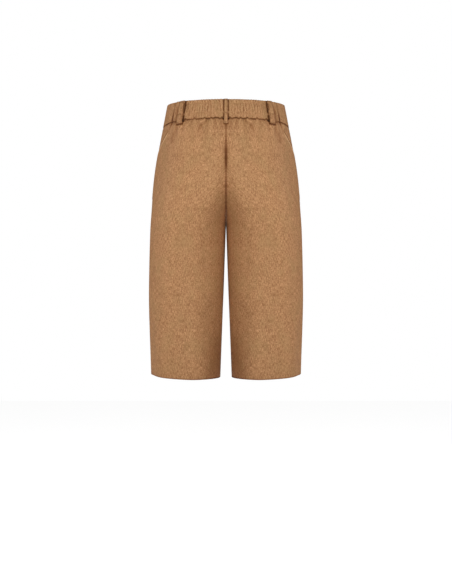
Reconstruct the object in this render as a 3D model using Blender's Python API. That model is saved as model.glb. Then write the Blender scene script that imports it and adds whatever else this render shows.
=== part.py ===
"""Bermuda shorts with an elasticated back waist, filled out as when worn.

Metres, +Z up. The front faces -Y and the wearer's left leg is at +X.
The origin is the middle of the waist opening, half way up the waistband.

One half of the garment is worked out as a skin of two coordinates: an angle
round the leg (0 at the side, + towards the back, - towards the front) and a
height. Every piece is a wall raised from that skin, and the other half is its
mirror image.
"""

from collections import namedtuple
from math import pi, radians

import bmesh
import bpy
import numpy as np
from mathutils import Vector

# Heights at the side of the body.
BAND_TOP = 0.0223
BAND_SEAM = -0.0223
CROTCH = -0.2385
HEM = -0.5730

# The waist is cut higher at the back than at the sides, and lower in front. The
# waistband is a little deeper at the sides.
BACK_RISE_SEAM = 0.0115
BACK_RISE_TOP = 0.0064
FRONT_DIP_SEAM = 0.008
FRONT_DIP_TOP = 0.006
SIDE_DIP = 0.0055
SIDE_DIP_REACH = radians(22)
LEVEL_AGAIN = -0.13
HEM_LIFT_OUTSIDE = 0.0066
HEM_LIFT_FADES = 0.12

# Cloth and seams.
CLOTH = 0.0016
HEM_CLOTH = 0.0028
HEM_DEPTH = 0.038
BAND_CLOTH = 0.0030
BAND_PROUD = 0.0004
SEAM_GAP = 0.0003
LEG_GAP_AT_HEM = 0.0118

# Below its elastic the back blouses out, and the seam of the seat makes a valley.
BLOUSE = 0.0018
BLOUSE_LENGTH = 0.010
BACK_VALLEY = 0.180
FRONT_VALLEY = 0.100
VALLEY_START_POWER = 1.6
VALLEY_END_POWER = 2.6
Groove = namedtuple("Groove", "z_from z_full z_fading z_to width depth")
SEAT_GROOVES = (
    Groove(-0.030, -0.080, -0.190, -0.235, 0.0150, 0.0085),
    Groove(-0.130, -0.160, -0.205, -0.234, 0.0080, 0.0040),
)

# The elastic pulls the side seams towards the back at the waist.
SIDE_SEAM_AT_WAIST = radians(33)
SIDE_SEAM_STRAIGHT = -0.095

# A wander makes waves uneven along a seam: size * sin(pitch * share + start).
Wander = namedtuple("Wander", "size pitch start")

# Gathers in the back waistband, stitched down in two rows.
BAND_GATHERS = 42
GATHER_DEPTH = 0.0014
GATHER_SPACING = Wander(0.9, 23.0, 0.0)
GATHER_SIZES = Wander(0.28, 31.0, 0.4)
GATHER_GROUPS = Wander(1.0, 13.0, 0.0)
NO_GATHER_AT_ENDS = 0.02
STITCH_ROWS = (0.013, 0.036)
STITCHED_SHARE = 0.35
STITCH_ROW_WIDTH = 0.0035
SHARE_BELOW_ROWS = 0.45

# Rows up the waistband and columns along it.
BACK_BAND_ROWS = (0.0446, 0.0405, 0.0360, 0.0310, 0.0245, 0.0180, 0.0130, SEAM_GAP / 2)
FRONT_BAND_ROWS = (0.0446, 0.0300, 0.0150, SEAM_GAP / 2)
COLUMNS_A_GATHER = 4
FRONT_BAND_COLUMNS = 20
BAND_LAP_COLUMNS = 6
LOOP_COLUMNS = 3

# Puckers of the back panels under the elastic.
PUCKERS = 8
PUCKER_DEPTH = 0.0011
PUCKER_LENGTH = 0.030
PUCKER_SPACING = Wander(1.1, 5.0, 1.0)
PUCKER_SIZES = Wander(0.35, 9.0, 0.7)
NO_PUCKER_AT_SIDE = 0.08

# The fly: the right front laps over the left, and so does its waistband.
FLY_LAP = 0.008
FLY_END = -0.185
FLY_TAPER = 0.014
FLY_RAMP = 0.022
FLY_FLAT = 0.003
BAND_LAP = 0.028
BUTTON_FROM_CENTRE = 0.014
BUTTON_RADIUS = 0.0075
BUTTON_THICK = 0.0028
BUTTON_ROUNDING = 0.0008
BUTTON_RIM = 0.0016
BUTTON_DISH = 0.0008
BUTTON_SIDES = 18

# Pockets in the side seams, with a bag that lies inside the front.
POCKET_MOUTH_TOP = -0.037
POCKET_MOUTH_END = -0.185
POCKET_MOUTH_GAP = 0.0012
MOUTH_CORNER = 0.006
MOUTH_ROLL = 0.0010
MOUTH_ROLL_REACH = radians(3.5)
POCKET_BAG_END = -0.245
POCKET_BAG_COLUMNS = 6
POCKET_CLOTH = 0.0010

# Belt loops: strips that arch from the waistband's top to below its seam, and lean
# so that one edge stands off further.
LOOP_CLOTH = 0.0016
LOOP_REST = 0.0004
Loop = namedtuple("Loop", "name side angle width below_seam lean")
LOOPS = (
    Loop("loop_back_centre", +1, radians(90), 0.0085, 0.012, 0.0),
    Loop("loop_back_left", +1, radians(45), 0.0145, 0.007, 0.6),
    Loop("loop_back_right", -1, radians(45), 0.0145, 0.007, 0.6),
    Loop("loop_front_left", +1, radians(-48), 0.0145, 0.008, -0.3),
    Loop("loop_front_right", -1, radians(-48), 0.0145, 0.008, -0.3),
)
LoopStep = namedtuple("LoopStep", "share stand_off")
LOOP_ARCH = (
    LoopStep(0.00, 0.0004),
    LoopStep(0.04, 0.0016),
    LoopStep(0.16, 0.0027),
    LoopStep(0.32, 0.0029),
    LoopStep(0.46, 0.0016),
    LoopStep(0.56, 0.0003),
    LoopStep(0.62, 0.0003),
    LoopStep(0.72, 0.0013),
    LoopStep(0.84, 0.0015),
    LoopStep(0.95, 0.0006),
    LoopStep(1.00, 0.0000),
)

# The outline: half width seen from the back, and depth behind and before the side.
Level = namedtuple("Level", "z half_width back front")
LEVELS = (
    Level(0.030, 0.1262, 0.0965, 0.0925),
    Level(0.022, 0.1279, 0.0980, 0.0940),
    Level(-0.022, 0.1377, 0.1080, 0.1030),
    Level(-0.066, 0.1463, 0.1175, 0.1085),
    Level(-0.101, 0.1523, 0.1240, 0.1115),
    Level(-0.136, 0.1572, 0.1275, 0.1130),
    Level(-0.171, 0.1606, 0.1280, 0.1130),
    Level(-0.207, 0.1632, 0.1245, 0.1120),
    Level(-0.242, 0.1658, 0.1175, 0.1095),
    Level(-0.285, 0.1675, 0.1095, 0.1055),
    Level(-0.330, 0.1687, 0.1030, 0.1010),
    Level(-0.400, 0.1697, 0.0950, 0.0945),
    Level(-0.453, 0.1689, 0.0900, 0.0900),
    Level(-0.523, 0.1669, 0.0855, 0.0865),
    Level(-0.575, 0.1655, 0.0830, 0.0840),
)

# Soft folds: a ridge (+) or trough (-) along a line, fading out at both ends.
Fold = namedtuple("Fold", "z_top angle_top z_end angle_end width depth")
FOLDS = (
    # Back: beside the pocket, the arch by the centre seam, under the seat, inner leg.
    Fold(-0.030, 24, -0.190, 24, 13, -0.0028),
    Fold(-0.050, 52, -0.200, 55, 16, 0.0016),
    Fold(-0.010, 74, -0.064, 67, 6, -0.0020),
    Fold(-0.225, 124, -0.400, 118, 22, -0.0034),
    Fold(-0.380, 138, -0.660, 140, 26, -0.0036),
    Fold(-0.290, 74, -0.660, 66, 24, 0.0016),
    # Front: beside the pocket, from the crotch outwards, down the leg, inner leg.
    Fold(-0.040, -36, -0.190, -50, 14, -0.0018),
    Fold(-0.170, -100, -0.300, -66, 22, -0.0020),
    Fold(-0.240, -124, -0.400, -120, 22, -0.0030),
    Fold(-0.120, -82, -0.660, -86, 20, 0.0020),
    Fold(-0.380, -138, -0.660, -138, 26, -0.0032),
    Fold(-0.330, -46, -0.600, -42, 20, -0.0018),
)
FOLD_ENDS = 0.045
NO_FOLD_AT_CENTRE = 0.012

# Rows of points down each panel, closer at the waist, the crotch and the hem.
WAIST_ROWS = (0, 0.005, 0.011, 0.018, 0.027, 0.039, 0.054, 0.072)
SEAT_ROWS = (0.092, 0.113, 0.134, 0.150, 0.163, 0.176, 0.189, 0.202, 0.212, 0.220, 0.2245)
LEG_ROWS = (0.228, 0.238, 0.258, 0.290, 0.335, 0.385, 0.435, 0.480, 0.513)
HEM_ROWS = (0.516, 0.535, 0.553)
BACK_COLUMNS = 20
FRONT_COLUMNS = 20
COLUMNS_LEAN_UP_TO = 0.110
FINER_AT_WAIST = 2


def rise(value, low, high):
    """0 below low and 1 above high, smooth in between."""
    share = np.clip((value - low) / (high - low), 0.0, 1.0)
    return share * share * (3 - 2 * share)


def through(stations, values, at):
    """A smooth curve through (station, value) pairs in rising order of station."""
    stations, values, at = (np.asarray(a, float) for a in (stations, values, at))
    slopes = np.gradient(values, stations)
    cell = np.clip(np.searchsorted(stations, at) - 1, 0, len(stations) - 2)
    width = stations[cell + 1] - stations[cell]
    t = (at - stations[cell]) / width
    from_start = (1 + 2 * t) * (1 - t) ** 2 * values[cell] + t * (1 - t) ** 2 * width * slopes[cell]
    from_end = t * t * (3 - 2 * t) * values[cell + 1] + t * t * (t - 1) * width * slopes[cell + 1]
    return from_start + from_end


def outline(name, z):
    """One column of the LEVELS table at height z."""
    upwards = LEVELS[::-1]
    return through([level.z for level in upwards], [getattr(level, name) for level in upwards], z)


def wandering(wander, share):
    """One wander at a share of the way along."""
    return wander.size * np.sin(wander.pitch * share + wander.start)


def valley(z, length):
    """1 where the two legs only touch, 0 where the seat is one oval."""
    share = np.clip((z - CROTCH) / length, 0.0, 1.0)
    return (1 - share**VALLEY_START_POWER) ** VALLEY_END_POWER


def leg_gap(z):
    """Half the gap between the legs, or half a seam above the crotch."""
    below = np.clip((CROTCH - z) / (CROTCH - HEM), 0.0, 1.0)
    return SEAM_GAP / 2 + (LEG_GAP_AT_HEM - SEAM_GAP / 2) * below


def oval(z, length):
    """Centre and half width in X of the oval that the cloth follows at height z."""
    width = outline("half_width", z)
    pull = valley(z, length)
    above = z > CROTCH
    half = np.where(above, width / (1 + pull), (width - leg_gap(z)) / 2)
    return width - half, half


def waist_tilt(z, at_seam, at_top):
    """How far the cloth is shifted up or down at the centre back or front."""
    band = at_seam + (at_top - at_seam) * rise(z, BAND_SEAM, BAND_TOP)
    return band * rise(z, LEVEL_AGAIN, BAND_SEAM)


def bare_skin(angle, z):
    """The left half's outer face without folds."""
    angle, z = np.broadcast_arrays(np.asarray(angle, float), np.asarray(z, float))
    back = angle >= 0
    centre, half = np.where(back, oval(z, BACK_VALLEY), oval(z, FRONT_VALLEY))
    depth = np.where(back, outline("back", z), outline("front", z))
    tilt = np.where(
        back,
        waist_tilt(z, BACK_RISE_SEAM, BACK_RISE_TOP),
        waist_tilt(z, FRONT_DIP_SEAM, FRONT_DIP_TOP),
    )
    dip = SIDE_DIP * (1 - rise(z, BAND_SEAM, BAND_TOP)) * rise(z, LEVEL_AGAIN, BAND_SEAM)
    dip = dip * np.where(back, np.exp(-((angle / SIDE_DIP_REACH) ** 2)), np.cos(angle) ** 2)
    x = centre + half * np.cos(angle)
    outside = np.clip((x - leg_gap(z)) / (2 * half), 0.0, 1.0)
    hem_lift = HEM_LIFT_OUTSIDE * outside * (1 - rise(z, HEM, HEM + HEM_LIFT_FADES))
    height = z + tilt * np.sin(angle) - dip + hem_lift
    return np.stack([x, depth * np.sin(angle), height], -1)


def outward(face, angle, z):
    """Unit normals of a face given as a function of angle and height."""
    small_angle, small_height = 1e-3, 1e-4
    round_it = face(angle + small_angle, z) - face(angle - small_angle, z)
    up = face(angle, z + small_height) - face(angle, z - small_height)
    normal = np.cross(round_it, up)
    return normal / np.linalg.norm(normal, axis=-1, keepdims=True)


def fold_height(angle, z):
    """All the soft folds together."""
    height = np.zeros(np.broadcast(angle, z).shape)
    for fold in FOLDS:
        down = np.clip((fold.z_top - z) / (fold.z_top - fold.z_end), 0.0, 1.0)
        middle = fold.angle_top + (fold.angle_end - fold.angle_top) * down
        aside = (np.degrees(angle) - middle + 180) % 360 - 180
        ends = rise(z, fold.z_end, fold.z_end + FOLD_ENDS)
        ends = ends * (1 - rise(z, fold.z_top - FOLD_ENDS, fold.z_top))
        height = height + fold.depth * ends * np.exp(-((aside / fold.width) ** 2))
    return height


def pucker_height(angle, z):
    """The blouse and the puckers of the back panel under its elastic."""
    below = np.clip(BAND_SEAM - z, 0.0, None)
    across = np.clip((angle - SIDE_SEAM_AT_WAIST) / (pi / 2 - SIDE_SEAM_AT_WAIST), 0.0, 1.0)
    wave = np.cos(2 * pi * PUCKERS * across + wandering(PUCKER_SPACING, across))
    uneven = 1 - PUCKER_SIZES.size + wandering(PUCKER_SIZES, across)
    inside = rise(across, 0.0, NO_PUCKER_AT_SIDE)
    fade = np.exp(-((below / PUCKER_LENGTH) ** 2))
    blouse = BLOUSE * (1 - np.exp(-below / BLOUSE_LENGTH)) * rise(z, LEVEL_AGAIN, BAND_SEAM)
    return inside * (PUCKER_DEPTH * wave * uneven * fade + blouse)


def mouth(z):
    """1 along the pocket mouth and 0 above and below."""
    end = rise(z, POCKET_MOUTH_END, POCKET_MOUTH_END + MOUTH_CORNER)
    return end * (1 - rise(z, POCKET_MOUTH_TOP - MOUTH_CORNER, POCKET_MOUTH_TOP))


def roll_height(angle, z):
    """The back edge of the pocket mouth rolls outwards a little."""
    behind = angle - side_seam(z)
    return MOUTH_ROLL * mouth(z) * np.exp(-((behind / MOUTH_ROLL_REACH) ** 2)) * (behind > 0)


def seat_groove(x, z):
    """How far the seat seam draws the back in."""
    depth = np.zeros(x.shape)
    for groove in SEAT_GROOVES:
        ends = rise(z, groove.z_to, groove.z_fading) * (1 - rise(z, groove.z_full, groove.z_from))
        depth = depth + groove.depth * ends * np.exp(-np.abs(x / groove.width))
    return depth


def skin(angle, z):
    """The left half's outer face, with its folds."""
    angle, z = np.broadcast_arrays(np.asarray(angle, float), np.asarray(z, float))
    bare = bare_skin(angle, z)
    height = fold_height(angle, z) + pucker_height(angle, z) + roll_height(angle, z)
    height = height * rise(bare[..., 0], 0.0, NO_FOLD_AT_CENTRE) * (z < BAND_SEAM)
    face = bare + height[..., None] * outward(bare_skin, angle, z)
    face[..., 1] -= seat_groove(bare[..., 0], z) * (angle > 0)
    return face


def side_seam(z):
    """The angle of the side seam."""
    return SIDE_SEAM_AT_WAIST * rise(z, SIDE_SEAM_STRAIGHT, BAND_SEAM)


def end_angle(z, length):
    """The angle where a panel meets its twin at the centre, or the inseam on the leg."""
    centre, half = oval(z, length)
    inseam = pi - SEAM_GAP / 2 / outline("back", z)
    return np.minimum(np.arccos(np.clip((SEAM_GAP / 2 - centre) / half, -1, 1)), inseam)


def cloth_thickness(z):
    """Single cloth, and the turned-up hem."""
    return np.where(z < HEM + HEM_DEPTH, HEM_CLOTH, CLOTH)


def wall(outer_rows, inner_rows):
    """A closed mesh between two faces, each a list of rows of points from the top down.

    The inner face may have fewer rows, and any row fewer points than its neighbour,
    as long as the spaces of the finer row are a multiple of those of the coarser.
    """
    mesh = bmesh.new()
    outer = [[mesh.verts.new(point) for point in row] for row in outer_rows]
    inner = [[mesh.verts.new(point) for point in row] for row in inner_rows]
    for rows in (outer, inner):
        for upper, lower in zip(rows, rows[1:]):
            fill_between(mesh, upper, lower)
    for end in (0, -1):
        fill_between(mesh, outer[end], inner[end])
    for side in (0, -1):
        fill_between(mesh, [row[side] for row in outer], [row[side] for row in inner])
    bmesh.ops.recalc_face_normals(mesh, faces=mesh.faces)
    return mesh


def fill_between(mesh, finer, coarser):
    """Triangles between two rows of points, across the shorter way of each space."""
    fan = (len(finer) - 1) // (len(coarser) - 1)
    for i in range(len(coarser) - 1):
        start, end = coarser[i], coarser[i + 1]
        run = finer[i * fan : i * fan + fan + 1]
        if fan == 1:
            turn = int((run[1].co - start.co).length < (run[0].co - end.co).length)
        else:
            turn = fan // 2
        for first, second in zip(run[:turn], run[1 : turn + 1]):
            mesh.faces.new((first, second, start))
        mesh.faces.new((run[turn], end, start))
        for first, second in zip(run[turn:], run[turn + 1 :]):
            mesh.faces.new((first, second, end))


def material(name, colour, roughness):
    """A plain finish."""
    made = bpy.data.materials.new(name)
    made.use_nodes = True
    shader = made.node_tree.nodes["Principled BSDF"]
    shader.inputs["Base Color"].default_value = (*colour, 1.0)
    shader.inputs["Roughness"].default_value = roughness
    shader.inputs["Metallic"].default_value = 0.0
    return made


def add_piece(name, mesh, finish, parent, mirrored=False):
    """A named object from a bmesh, smooth but for its cut edges."""
    if mirrored:
        bmesh.ops.scale(mesh, vec=(-1, 1, 1), verts=mesh.verts)
        bmesh.ops.reverse_faces(mesh, faces=mesh.faces)
    data = bpy.data.meshes.new(name)
    mesh.to_mesh(data)
    mesh.free()
    data.shade_smooth()
    data.set_sharp_from_angle(angle=radians(50))
    data.materials.append(finish)
    piece = bpy.data.objects.new(name, data)
    bpy.context.scene.collection.objects.link(piece)
    piece.parent = parent
    return piece


def row_heights():
    """Heights of the rows of a panel, from the waist seam to the hem."""
    depths = np.array(WAIST_ROWS + SEAT_ROWS + LEG_ROWS + HEM_ROWS)
    return BAND_SEAM - SEAM_GAP / 2 - depths * (1 - SEAM_GAP / 2 / depths[-1])


def seam_clearance(z):
    """Half the gap at the side seam in radians, wider along the pocket mouth."""
    gap = SEAM_GAP + (POCKET_MOUTH_GAP - SEAM_GAP) * mouth(z)
    return gap / 2 / outline("back", z)


def columns(z, first, last, spaces):
    """Angles of a row, spaced so that only those by the inseam swing in at the crotch."""
    share = np.linspace(0.0, 1.0, spaces + 1)
    even = first + share * (last - first)
    full = np.sign(last) * pi
    leaning = first + share * (full - first) - share * share * (full - last)
    return even + (leaning - even) * (1 - rise(z, CROTCH, CROTCH + COLUMNS_LEAN_UP_TO))


def back_columns(z, spaces):
    """Angles of a row of a back panel, from the side to the centre or inseam."""
    return columns(z, side_seam(z) + seam_clearance(z), end_angle(z, BACK_VALLEY), spaces)


def front_columns(z, lapped):
    """Angles of a row of a front panel, with the last two kept for the fly if lapped."""
    first, centre = side_seam(z) - seam_clearance(z), -end_angle(z, FRONT_VALLEY)
    if not lapped:
        return columns(z, first, centre, FRONT_COLUMNS)
    half = oval(z, FRONT_VALLEY)[1]
    lap = FLY_LAP * rise(z, FLY_END, FLY_END + FLY_TAPER)
    plain = columns(z, first, centre, FRONT_COLUMNS - 2)
    ramp = centre + FLY_RAMP / half
    squeeze = (ramp - first) / (centre - first)
    plain = first + (plain - first) * squeeze
    return np.concatenate([plain, [centre + FLY_FLAT / half, centre - lap / half]])


def back_panel():
    """One leg's back, from the side seam to the seat seam and inseam."""
    outer, inner = [], []
    for number, height in enumerate(row_heights()):
        finer = FINER_AT_WAIST if number < len(WAIST_ROWS) else 1
        angle = back_columns(height, BACK_COLUMNS * finer)
        z = np.full(len(angle), height)
        outer.append(skin(angle, z))
        inner.append(outer[-1] - cloth_thickness(z)[:, None] * outward(skin, angle, z))
    return wall(outer, inner)


def front_panel(lapped):
    """One leg's front. The lapped one carries on past the centre as the fly."""
    outer, inner = [], []
    for height in row_heights():
        angle = front_columns(height, lapped)
        z = np.full(len(angle), height)
        centre = -end_angle(height, FRONT_VALLEY)
        beyond = angle < centre
        folded = np.where(beyond, 2 * centre - angle, angle)
        face, normal = skin(folded, z), outward(skin, folded, z)
        face[beyond, 0] *= -1
        normal[beyond, 0] *= -1
        if lapped:
            lift = (CLOTH + 2 * SEAM_GAP) * rise(-face[:, 0], -FLY_RAMP, -FLY_FLAT)
            lift = lift * rise(z, FLY_END - FLY_RAMP, FLY_END - FLY_FLAT)
            face[:, :2] += lift[:, None] * normal[:, :2]
        outer.append(face)
        inner.append(face - cloth_thickness(z)[:, None] * normal)
    return wall(outer, inner)


def gather_height(angle, z):
    """The gathers that the elastic makes, held down along its stitch rows."""
    across = (angle - SIDE_SEAM_AT_WAIST) / (pi - 2 * SIDE_SEAM_AT_WAIST)
    turn = 2 * pi * BAND_GATHERS * across + wandering(GATHER_SPACING, across)
    wave = 0.5 + 0.5 * np.cos(turn)
    sizes = wandering(GATHER_SIZES, across) * wandering(GATHER_GROUPS, across)
    uneven = 1 - GATHER_SIZES.size + sizes
    held = SHARE_BELOW_ROWS + (1 - SHARE_BELOW_ROWS) * rise(z - BAND_SEAM, 0, STITCH_ROWS[0])
    for row in STITCH_ROWS:
        from_row = (z - BAND_SEAM - row) / STITCH_ROW_WIDTH
        held = held * (1 - (1 - STITCHED_SHARE) * np.exp(-(from_row**2)))
    ends = rise(np.minimum(across, 1 - across), 0, NO_GATHER_AT_ENDS)
    return GATHER_DEPTH * wave * uneven * held * ends


def band_skin(angle, z):
    """The waistband's outer face without gathers, all the way round."""
    turned = np.where(np.cos(angle) < 0, pi - angle, angle)
    face = bare_skin(np.where(turned > pi, turned - 2 * pi, turned), z)
    face[..., 0] *= np.where(np.cos(angle) < 0, -1, 1)
    return face + BAND_PROUD * outward_round(face)


def outward_round(points):
    """Horizontal directions away from the body's middle, square to the waist's oval."""
    away = points / np.array([outline("half_width", 0.0), outline("back", 0.0), 1.0]) ** 2
    away[..., 2] = 0.0
    return away / np.linalg.norm(away, axis=-1, keepdims=True)


def level(points, *_):
    """No height anywhere."""
    return np.zeros(len(points))


def band_rows(angle, heights, lift_at, bumps_at):
    """Rows of points for the two faces of a stretch of waistband."""
    outer, inner = [], []
    for height in heights:
        z = np.full(len(angle), BAND_SEAM + height)
        face = band_skin(angle, z)
        away = outward_round(face)
        lift = lift_at(face)[:, None]
        outer.append(face + (lift + bumps_at(angle, z)[:, None]) * away)
        inner.append(face + (lift - BAND_CLOTH) * away)
    return outer, inner


def back_band():
    """The elasticated back of the waistband, gathered outside and plain inside."""
    clear = SEAM_GAP / 2 / outline("back", 0.0)
    angle = np.linspace(
        SIDE_SEAM_AT_WAIST + clear,
        pi - SIDE_SEAM_AT_WAIST - clear,
        BAND_GATHERS * COLUMNS_A_GATHER + 1,
    )
    outer, inner = band_rows(angle, BACK_BAND_ROWS, level, gather_height)
    return wall(outer, [row[::COLUMNS_A_GATHER] for row in (inner[0], inner[-1])])


def front_band(lapped):
    """Half of the plain front waistband, from the side seam to the centre or past it."""
    clear = SEAM_GAP / 2 / outline("back", 0.0)
    past = (BAND_LAP if lapped else -SEAM_GAP) / outline("half_width", 0.0)

    def lift_at(face):
        """The lap climbs over the other half."""
        full = (BAND_CLOTH + 2 * SEAM_GAP) if lapped else 0.0
        return full * rise(-face[:, 0], -FLY_RAMP, -FLY_FLAT)

    spaces = FRONT_BAND_COLUMNS + (BAND_LAP_COLUMNS if lapped else 0)
    angle = np.linspace(SIDE_SEAM_AT_WAIST - clear, -pi / 2 - past, spaces + 1)
    outer, inner = band_rows(angle, FRONT_BAND_ROWS, lift_at, level)
    return wall(outer, inner)


def pocket_bag(lapped):
    """A pocket's bag: a layer behind the mouth that lies on the front's inside."""
    outer, inner = [], []
    for height in row_heights():
        if height < POCKET_BAG_END:
            break
        behind = back_columns(height, BACK_COLUMNS)[1:2]
        angle = np.concatenate([behind, front_columns(height, lapped)[:POCKET_BAG_COLUMNS]])
        z = np.full(len(angle), height)
        normal = outward(skin, angle, z)
        outer.append(skin(angle, z) - (CLOTH + SEAM_GAP) * normal)
        inner.append(outer[-1] - POCKET_CLOTH * normal)
    return wall(outer, inner)


def loop_strip(loop):
    """A belt loop: a strip that stands off the waistband in two shallow arches."""
    top, end = BAND_TOP, BAND_SEAM - loop.below_seam
    small_angle = 1e-3
    beside = band_skin(loop.angle + np.array([-small_angle, small_angle]), np.zeros(2))
    reach = np.linalg.norm(beside[1] - beside[0]) / (2 * small_angle)
    share = np.linspace(-1.0, 1.0, LOOP_COLUMNS + 1)
    angle = loop.angle + share * loop.width / 2 / reach
    over_gathers = GATHER_DEPTH if loop.angle > 0 else 0.0
    outer, inner = [], []
    for step in LOOP_ARCH:
        z = np.full(len(angle), top + (end - top) * step.share)
        on_band = band_skin(angle, z)
        away = outward_round(on_band)
        folded = np.where(angle > pi / 2, pi - angle, angle)
        below = skin(folded, np.minimum(z, BAND_SEAM - SEAM_GAP))
        below[:, 0] *= np.where(angle > pi / 2, -1, 1)
        puff = np.einsum("ij,ij->i", below - on_band, away)
        blend = rise(z, BAND_SEAM - 0.004, BAND_SEAM + 0.004)
        rest = over_gathers * blend + np.clip(puff, 0, None) * (1 - blend)
        stand_off = step.stand_off * (1 + loop.lean * share)
        face = on_band + (rest.max() + LOOP_REST + stand_off)[:, None] * away
        inner.append(face)
        outer.append(face + LOOP_CLOTH * away)
    return wall(outer, inner)


def button(finish, parent):
    """A round button with a raised rim, lying on the waistband's lap."""
    mesh = bmesh.new()
    inner_rim = BUTTON_RADIUS - BUTTON_RIM
    profile = (
        (0.0, 0.0),
        (BUTTON_RADIUS - BUTTON_ROUNDING, 0.0),
        (BUTTON_RADIUS, BUTTON_ROUNDING),
        (BUTTON_RADIUS, BUTTON_THICK - BUTTON_ROUNDING),
        (BUTTON_RADIUS - BUTTON_ROUNDING, BUTTON_THICK),
        (inner_rim, BUTTON_THICK),
        (inner_rim - BUTTON_DISH, BUTTON_THICK - BUTTON_DISH),
        (0.0, BUTTON_THICK - BUTTON_DISH),
    )
    points = [mesh.verts.new((radius, 0.0, height)) for radius, height in profile]
    edges = [mesh.edges.new(pair) for pair in zip(points, points[1:])]
    bmesh.ops.spin(
        mesh,
        geom=points + edges,
        cent=(0, 0, 0),
        axis=(0, 0, 1),
        angle=2 * pi,
        steps=BUTTON_SIDES,
        use_merge=True,
    )
    bmesh.ops.remove_doubles(mesh, verts=mesh.verts, dist=1e-6)
    bmesh.ops.recalc_face_normals(mesh, faces=mesh.faces)
    piece = add_piece("button", mesh, finish, parent)
    angle = np.array([-pi / 2 + BUTTON_FROM_CENTRE / outline("half_width", 0.0)])
    middle = np.zeros(1)
    lift = (BAND_CLOTH + 3 * SEAM_GAP) * outward_round(band_skin(angle, middle))
    facing = outward(band_skin, angle, middle)
    piece.location = (band_skin(angle, middle) + lift)[0]
    piece.rotation_euler = Vector(facing[0]).to_track_quat("Z", "Y").to_euler()
    return piece


def main():
    for old in list(bpy.data.objects):
        bpy.data.objects.remove(old)
    whole = bpy.data.objects.new("bermuda_shorts", None)
    bpy.context.scene.collection.objects.link(whole)
    cloth = material("camel_cloth", (0.42, 0.21, 0.10), 0.9)
    pocketing = material("pocketing", (0.36, 0.19, 0.10), 0.9)
    horn = material("horn_brown", (0.10, 0.045, 0.02), 0.35)

    add_piece("back_left", back_panel(), cloth, whole)
    add_piece("back_right", back_panel(), cloth, whole, mirrored=True)
    add_piece("front_left", front_panel(False), cloth, whole)
    add_piece("front_right", front_panel(True), cloth, whole, mirrored=True)
    add_piece("waistband_back", back_band(), cloth, whole)
    add_piece("waistband_front_left", front_band(False), cloth, whole)
    add_piece("waistband_front_right", front_band(True), cloth, whole, mirrored=True)
    add_piece("pocket_left", pocket_bag(False), pocketing, whole)
    add_piece("pocket_right", pocket_bag(True), pocketing, whole, mirrored=True)
    for loop in LOOPS:
        add_piece(loop.name, loop_strip(loop), cloth, whole, mirrored=loop.side < 0)
    button(horn, whole)


main()
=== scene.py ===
"""Bermuda shorts of camel melange suiting with an elasticated back waist.

The cloth is filled out as when worn, seen from behind. Metres, +Z up, and the
wearer's left is at +X. Each piece stands in the place of its solid in the frame.
"""

from collections import namedtuple
from math import cos, pi, radians, sin

import bpy
import numpy as np
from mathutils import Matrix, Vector


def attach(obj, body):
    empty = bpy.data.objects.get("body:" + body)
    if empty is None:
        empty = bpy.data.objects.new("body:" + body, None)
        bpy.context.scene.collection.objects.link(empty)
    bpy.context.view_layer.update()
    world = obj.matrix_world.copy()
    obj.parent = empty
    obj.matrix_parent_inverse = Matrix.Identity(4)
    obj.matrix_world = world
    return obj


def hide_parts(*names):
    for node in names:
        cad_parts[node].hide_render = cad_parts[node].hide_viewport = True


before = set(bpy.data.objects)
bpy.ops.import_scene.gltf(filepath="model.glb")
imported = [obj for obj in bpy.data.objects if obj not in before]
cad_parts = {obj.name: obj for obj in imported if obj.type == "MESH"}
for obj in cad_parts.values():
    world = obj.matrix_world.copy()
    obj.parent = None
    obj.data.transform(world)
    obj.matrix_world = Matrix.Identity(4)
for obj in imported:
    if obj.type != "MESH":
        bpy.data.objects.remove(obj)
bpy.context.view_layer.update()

# ---------------------------------------------------------------------------
# The two back legs: each is one length of suiting, cut with the grain upright,
# sewn to its twin along the seat and to the front along the side and inseam.
# The hem is turned up inside and held with blind stitches.

BAND_TOP = 0.0223
BAND_SEAM = -0.0223
CROTCH = -0.2385
HEM = -0.5730
HEM_DEPTH = 0.038

BACK_RISE_SEAM, BACK_RISE_TOP = 0.0115, 0.0064
FRONT_DIP_SEAM, FRONT_DIP_TOP = 0.008, 0.006
SIDE_DIP = 0.0055
SIDE_DIP_REACH = radians(22)
LEVEL_AGAIN = -0.13
HEM_LIFT_OUTSIDE = 0.0066
HEM_LIFT_FADES = 0.12

CLOTH = 0.0014
HEM_CLOTH = 0.0026
SEAM_GAP = 0.0003
SEAT_GAP = 0.00006
LEG_GAP_AT_HEM = 0.0118

BLOUSE = 0.0018
BLOUSE_LENGTH = 0.010
BLOUSE_SIDE = 0.08
BACK_VALLEY, FRONT_VALLEY = 0.180, 0.100
VALLEY_START_POWER, VALLEY_END_POWER = 1.6, 2.6

SIDE_SEAM_AT_WAIST = radians(33)
SIDE_SEAM_STRAIGHT = -0.095

# Half width seen from the back, and depth behind and before the side seams.
Level = namedtuple("Level", "z half_width back front")
LEVELS = (
    Level(0.030, 0.1262, 0.0965, 0.0925),
    Level(0.022, 0.1279, 0.0980, 0.0940),
    Level(-0.022, 0.1377, 0.1080, 0.1030),
    Level(-0.066, 0.1463, 0.1175, 0.1085),
    Level(-0.101, 0.1523, 0.1240, 0.1115),
    Level(-0.136, 0.1572, 0.1275, 0.1130),
    Level(-0.171, 0.1606, 0.1280, 0.1130),
    Level(-0.207, 0.1632, 0.1245, 0.1120),
    Level(-0.242, 0.1658, 0.1175, 0.1095),
    Level(-0.285, 0.1675, 0.1095, 0.1055),
    Level(-0.330, 0.1687, 0.1030, 0.1010),
    Level(-0.400, 0.1697, 0.0950, 0.0945),
    Level(-0.453, 0.1689, 0.0900, 0.0900),
    Level(-0.523, 0.1669, 0.0855, 0.0865),
    Level(-0.575, 0.1655, 0.0830, 0.0840),
)

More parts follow.
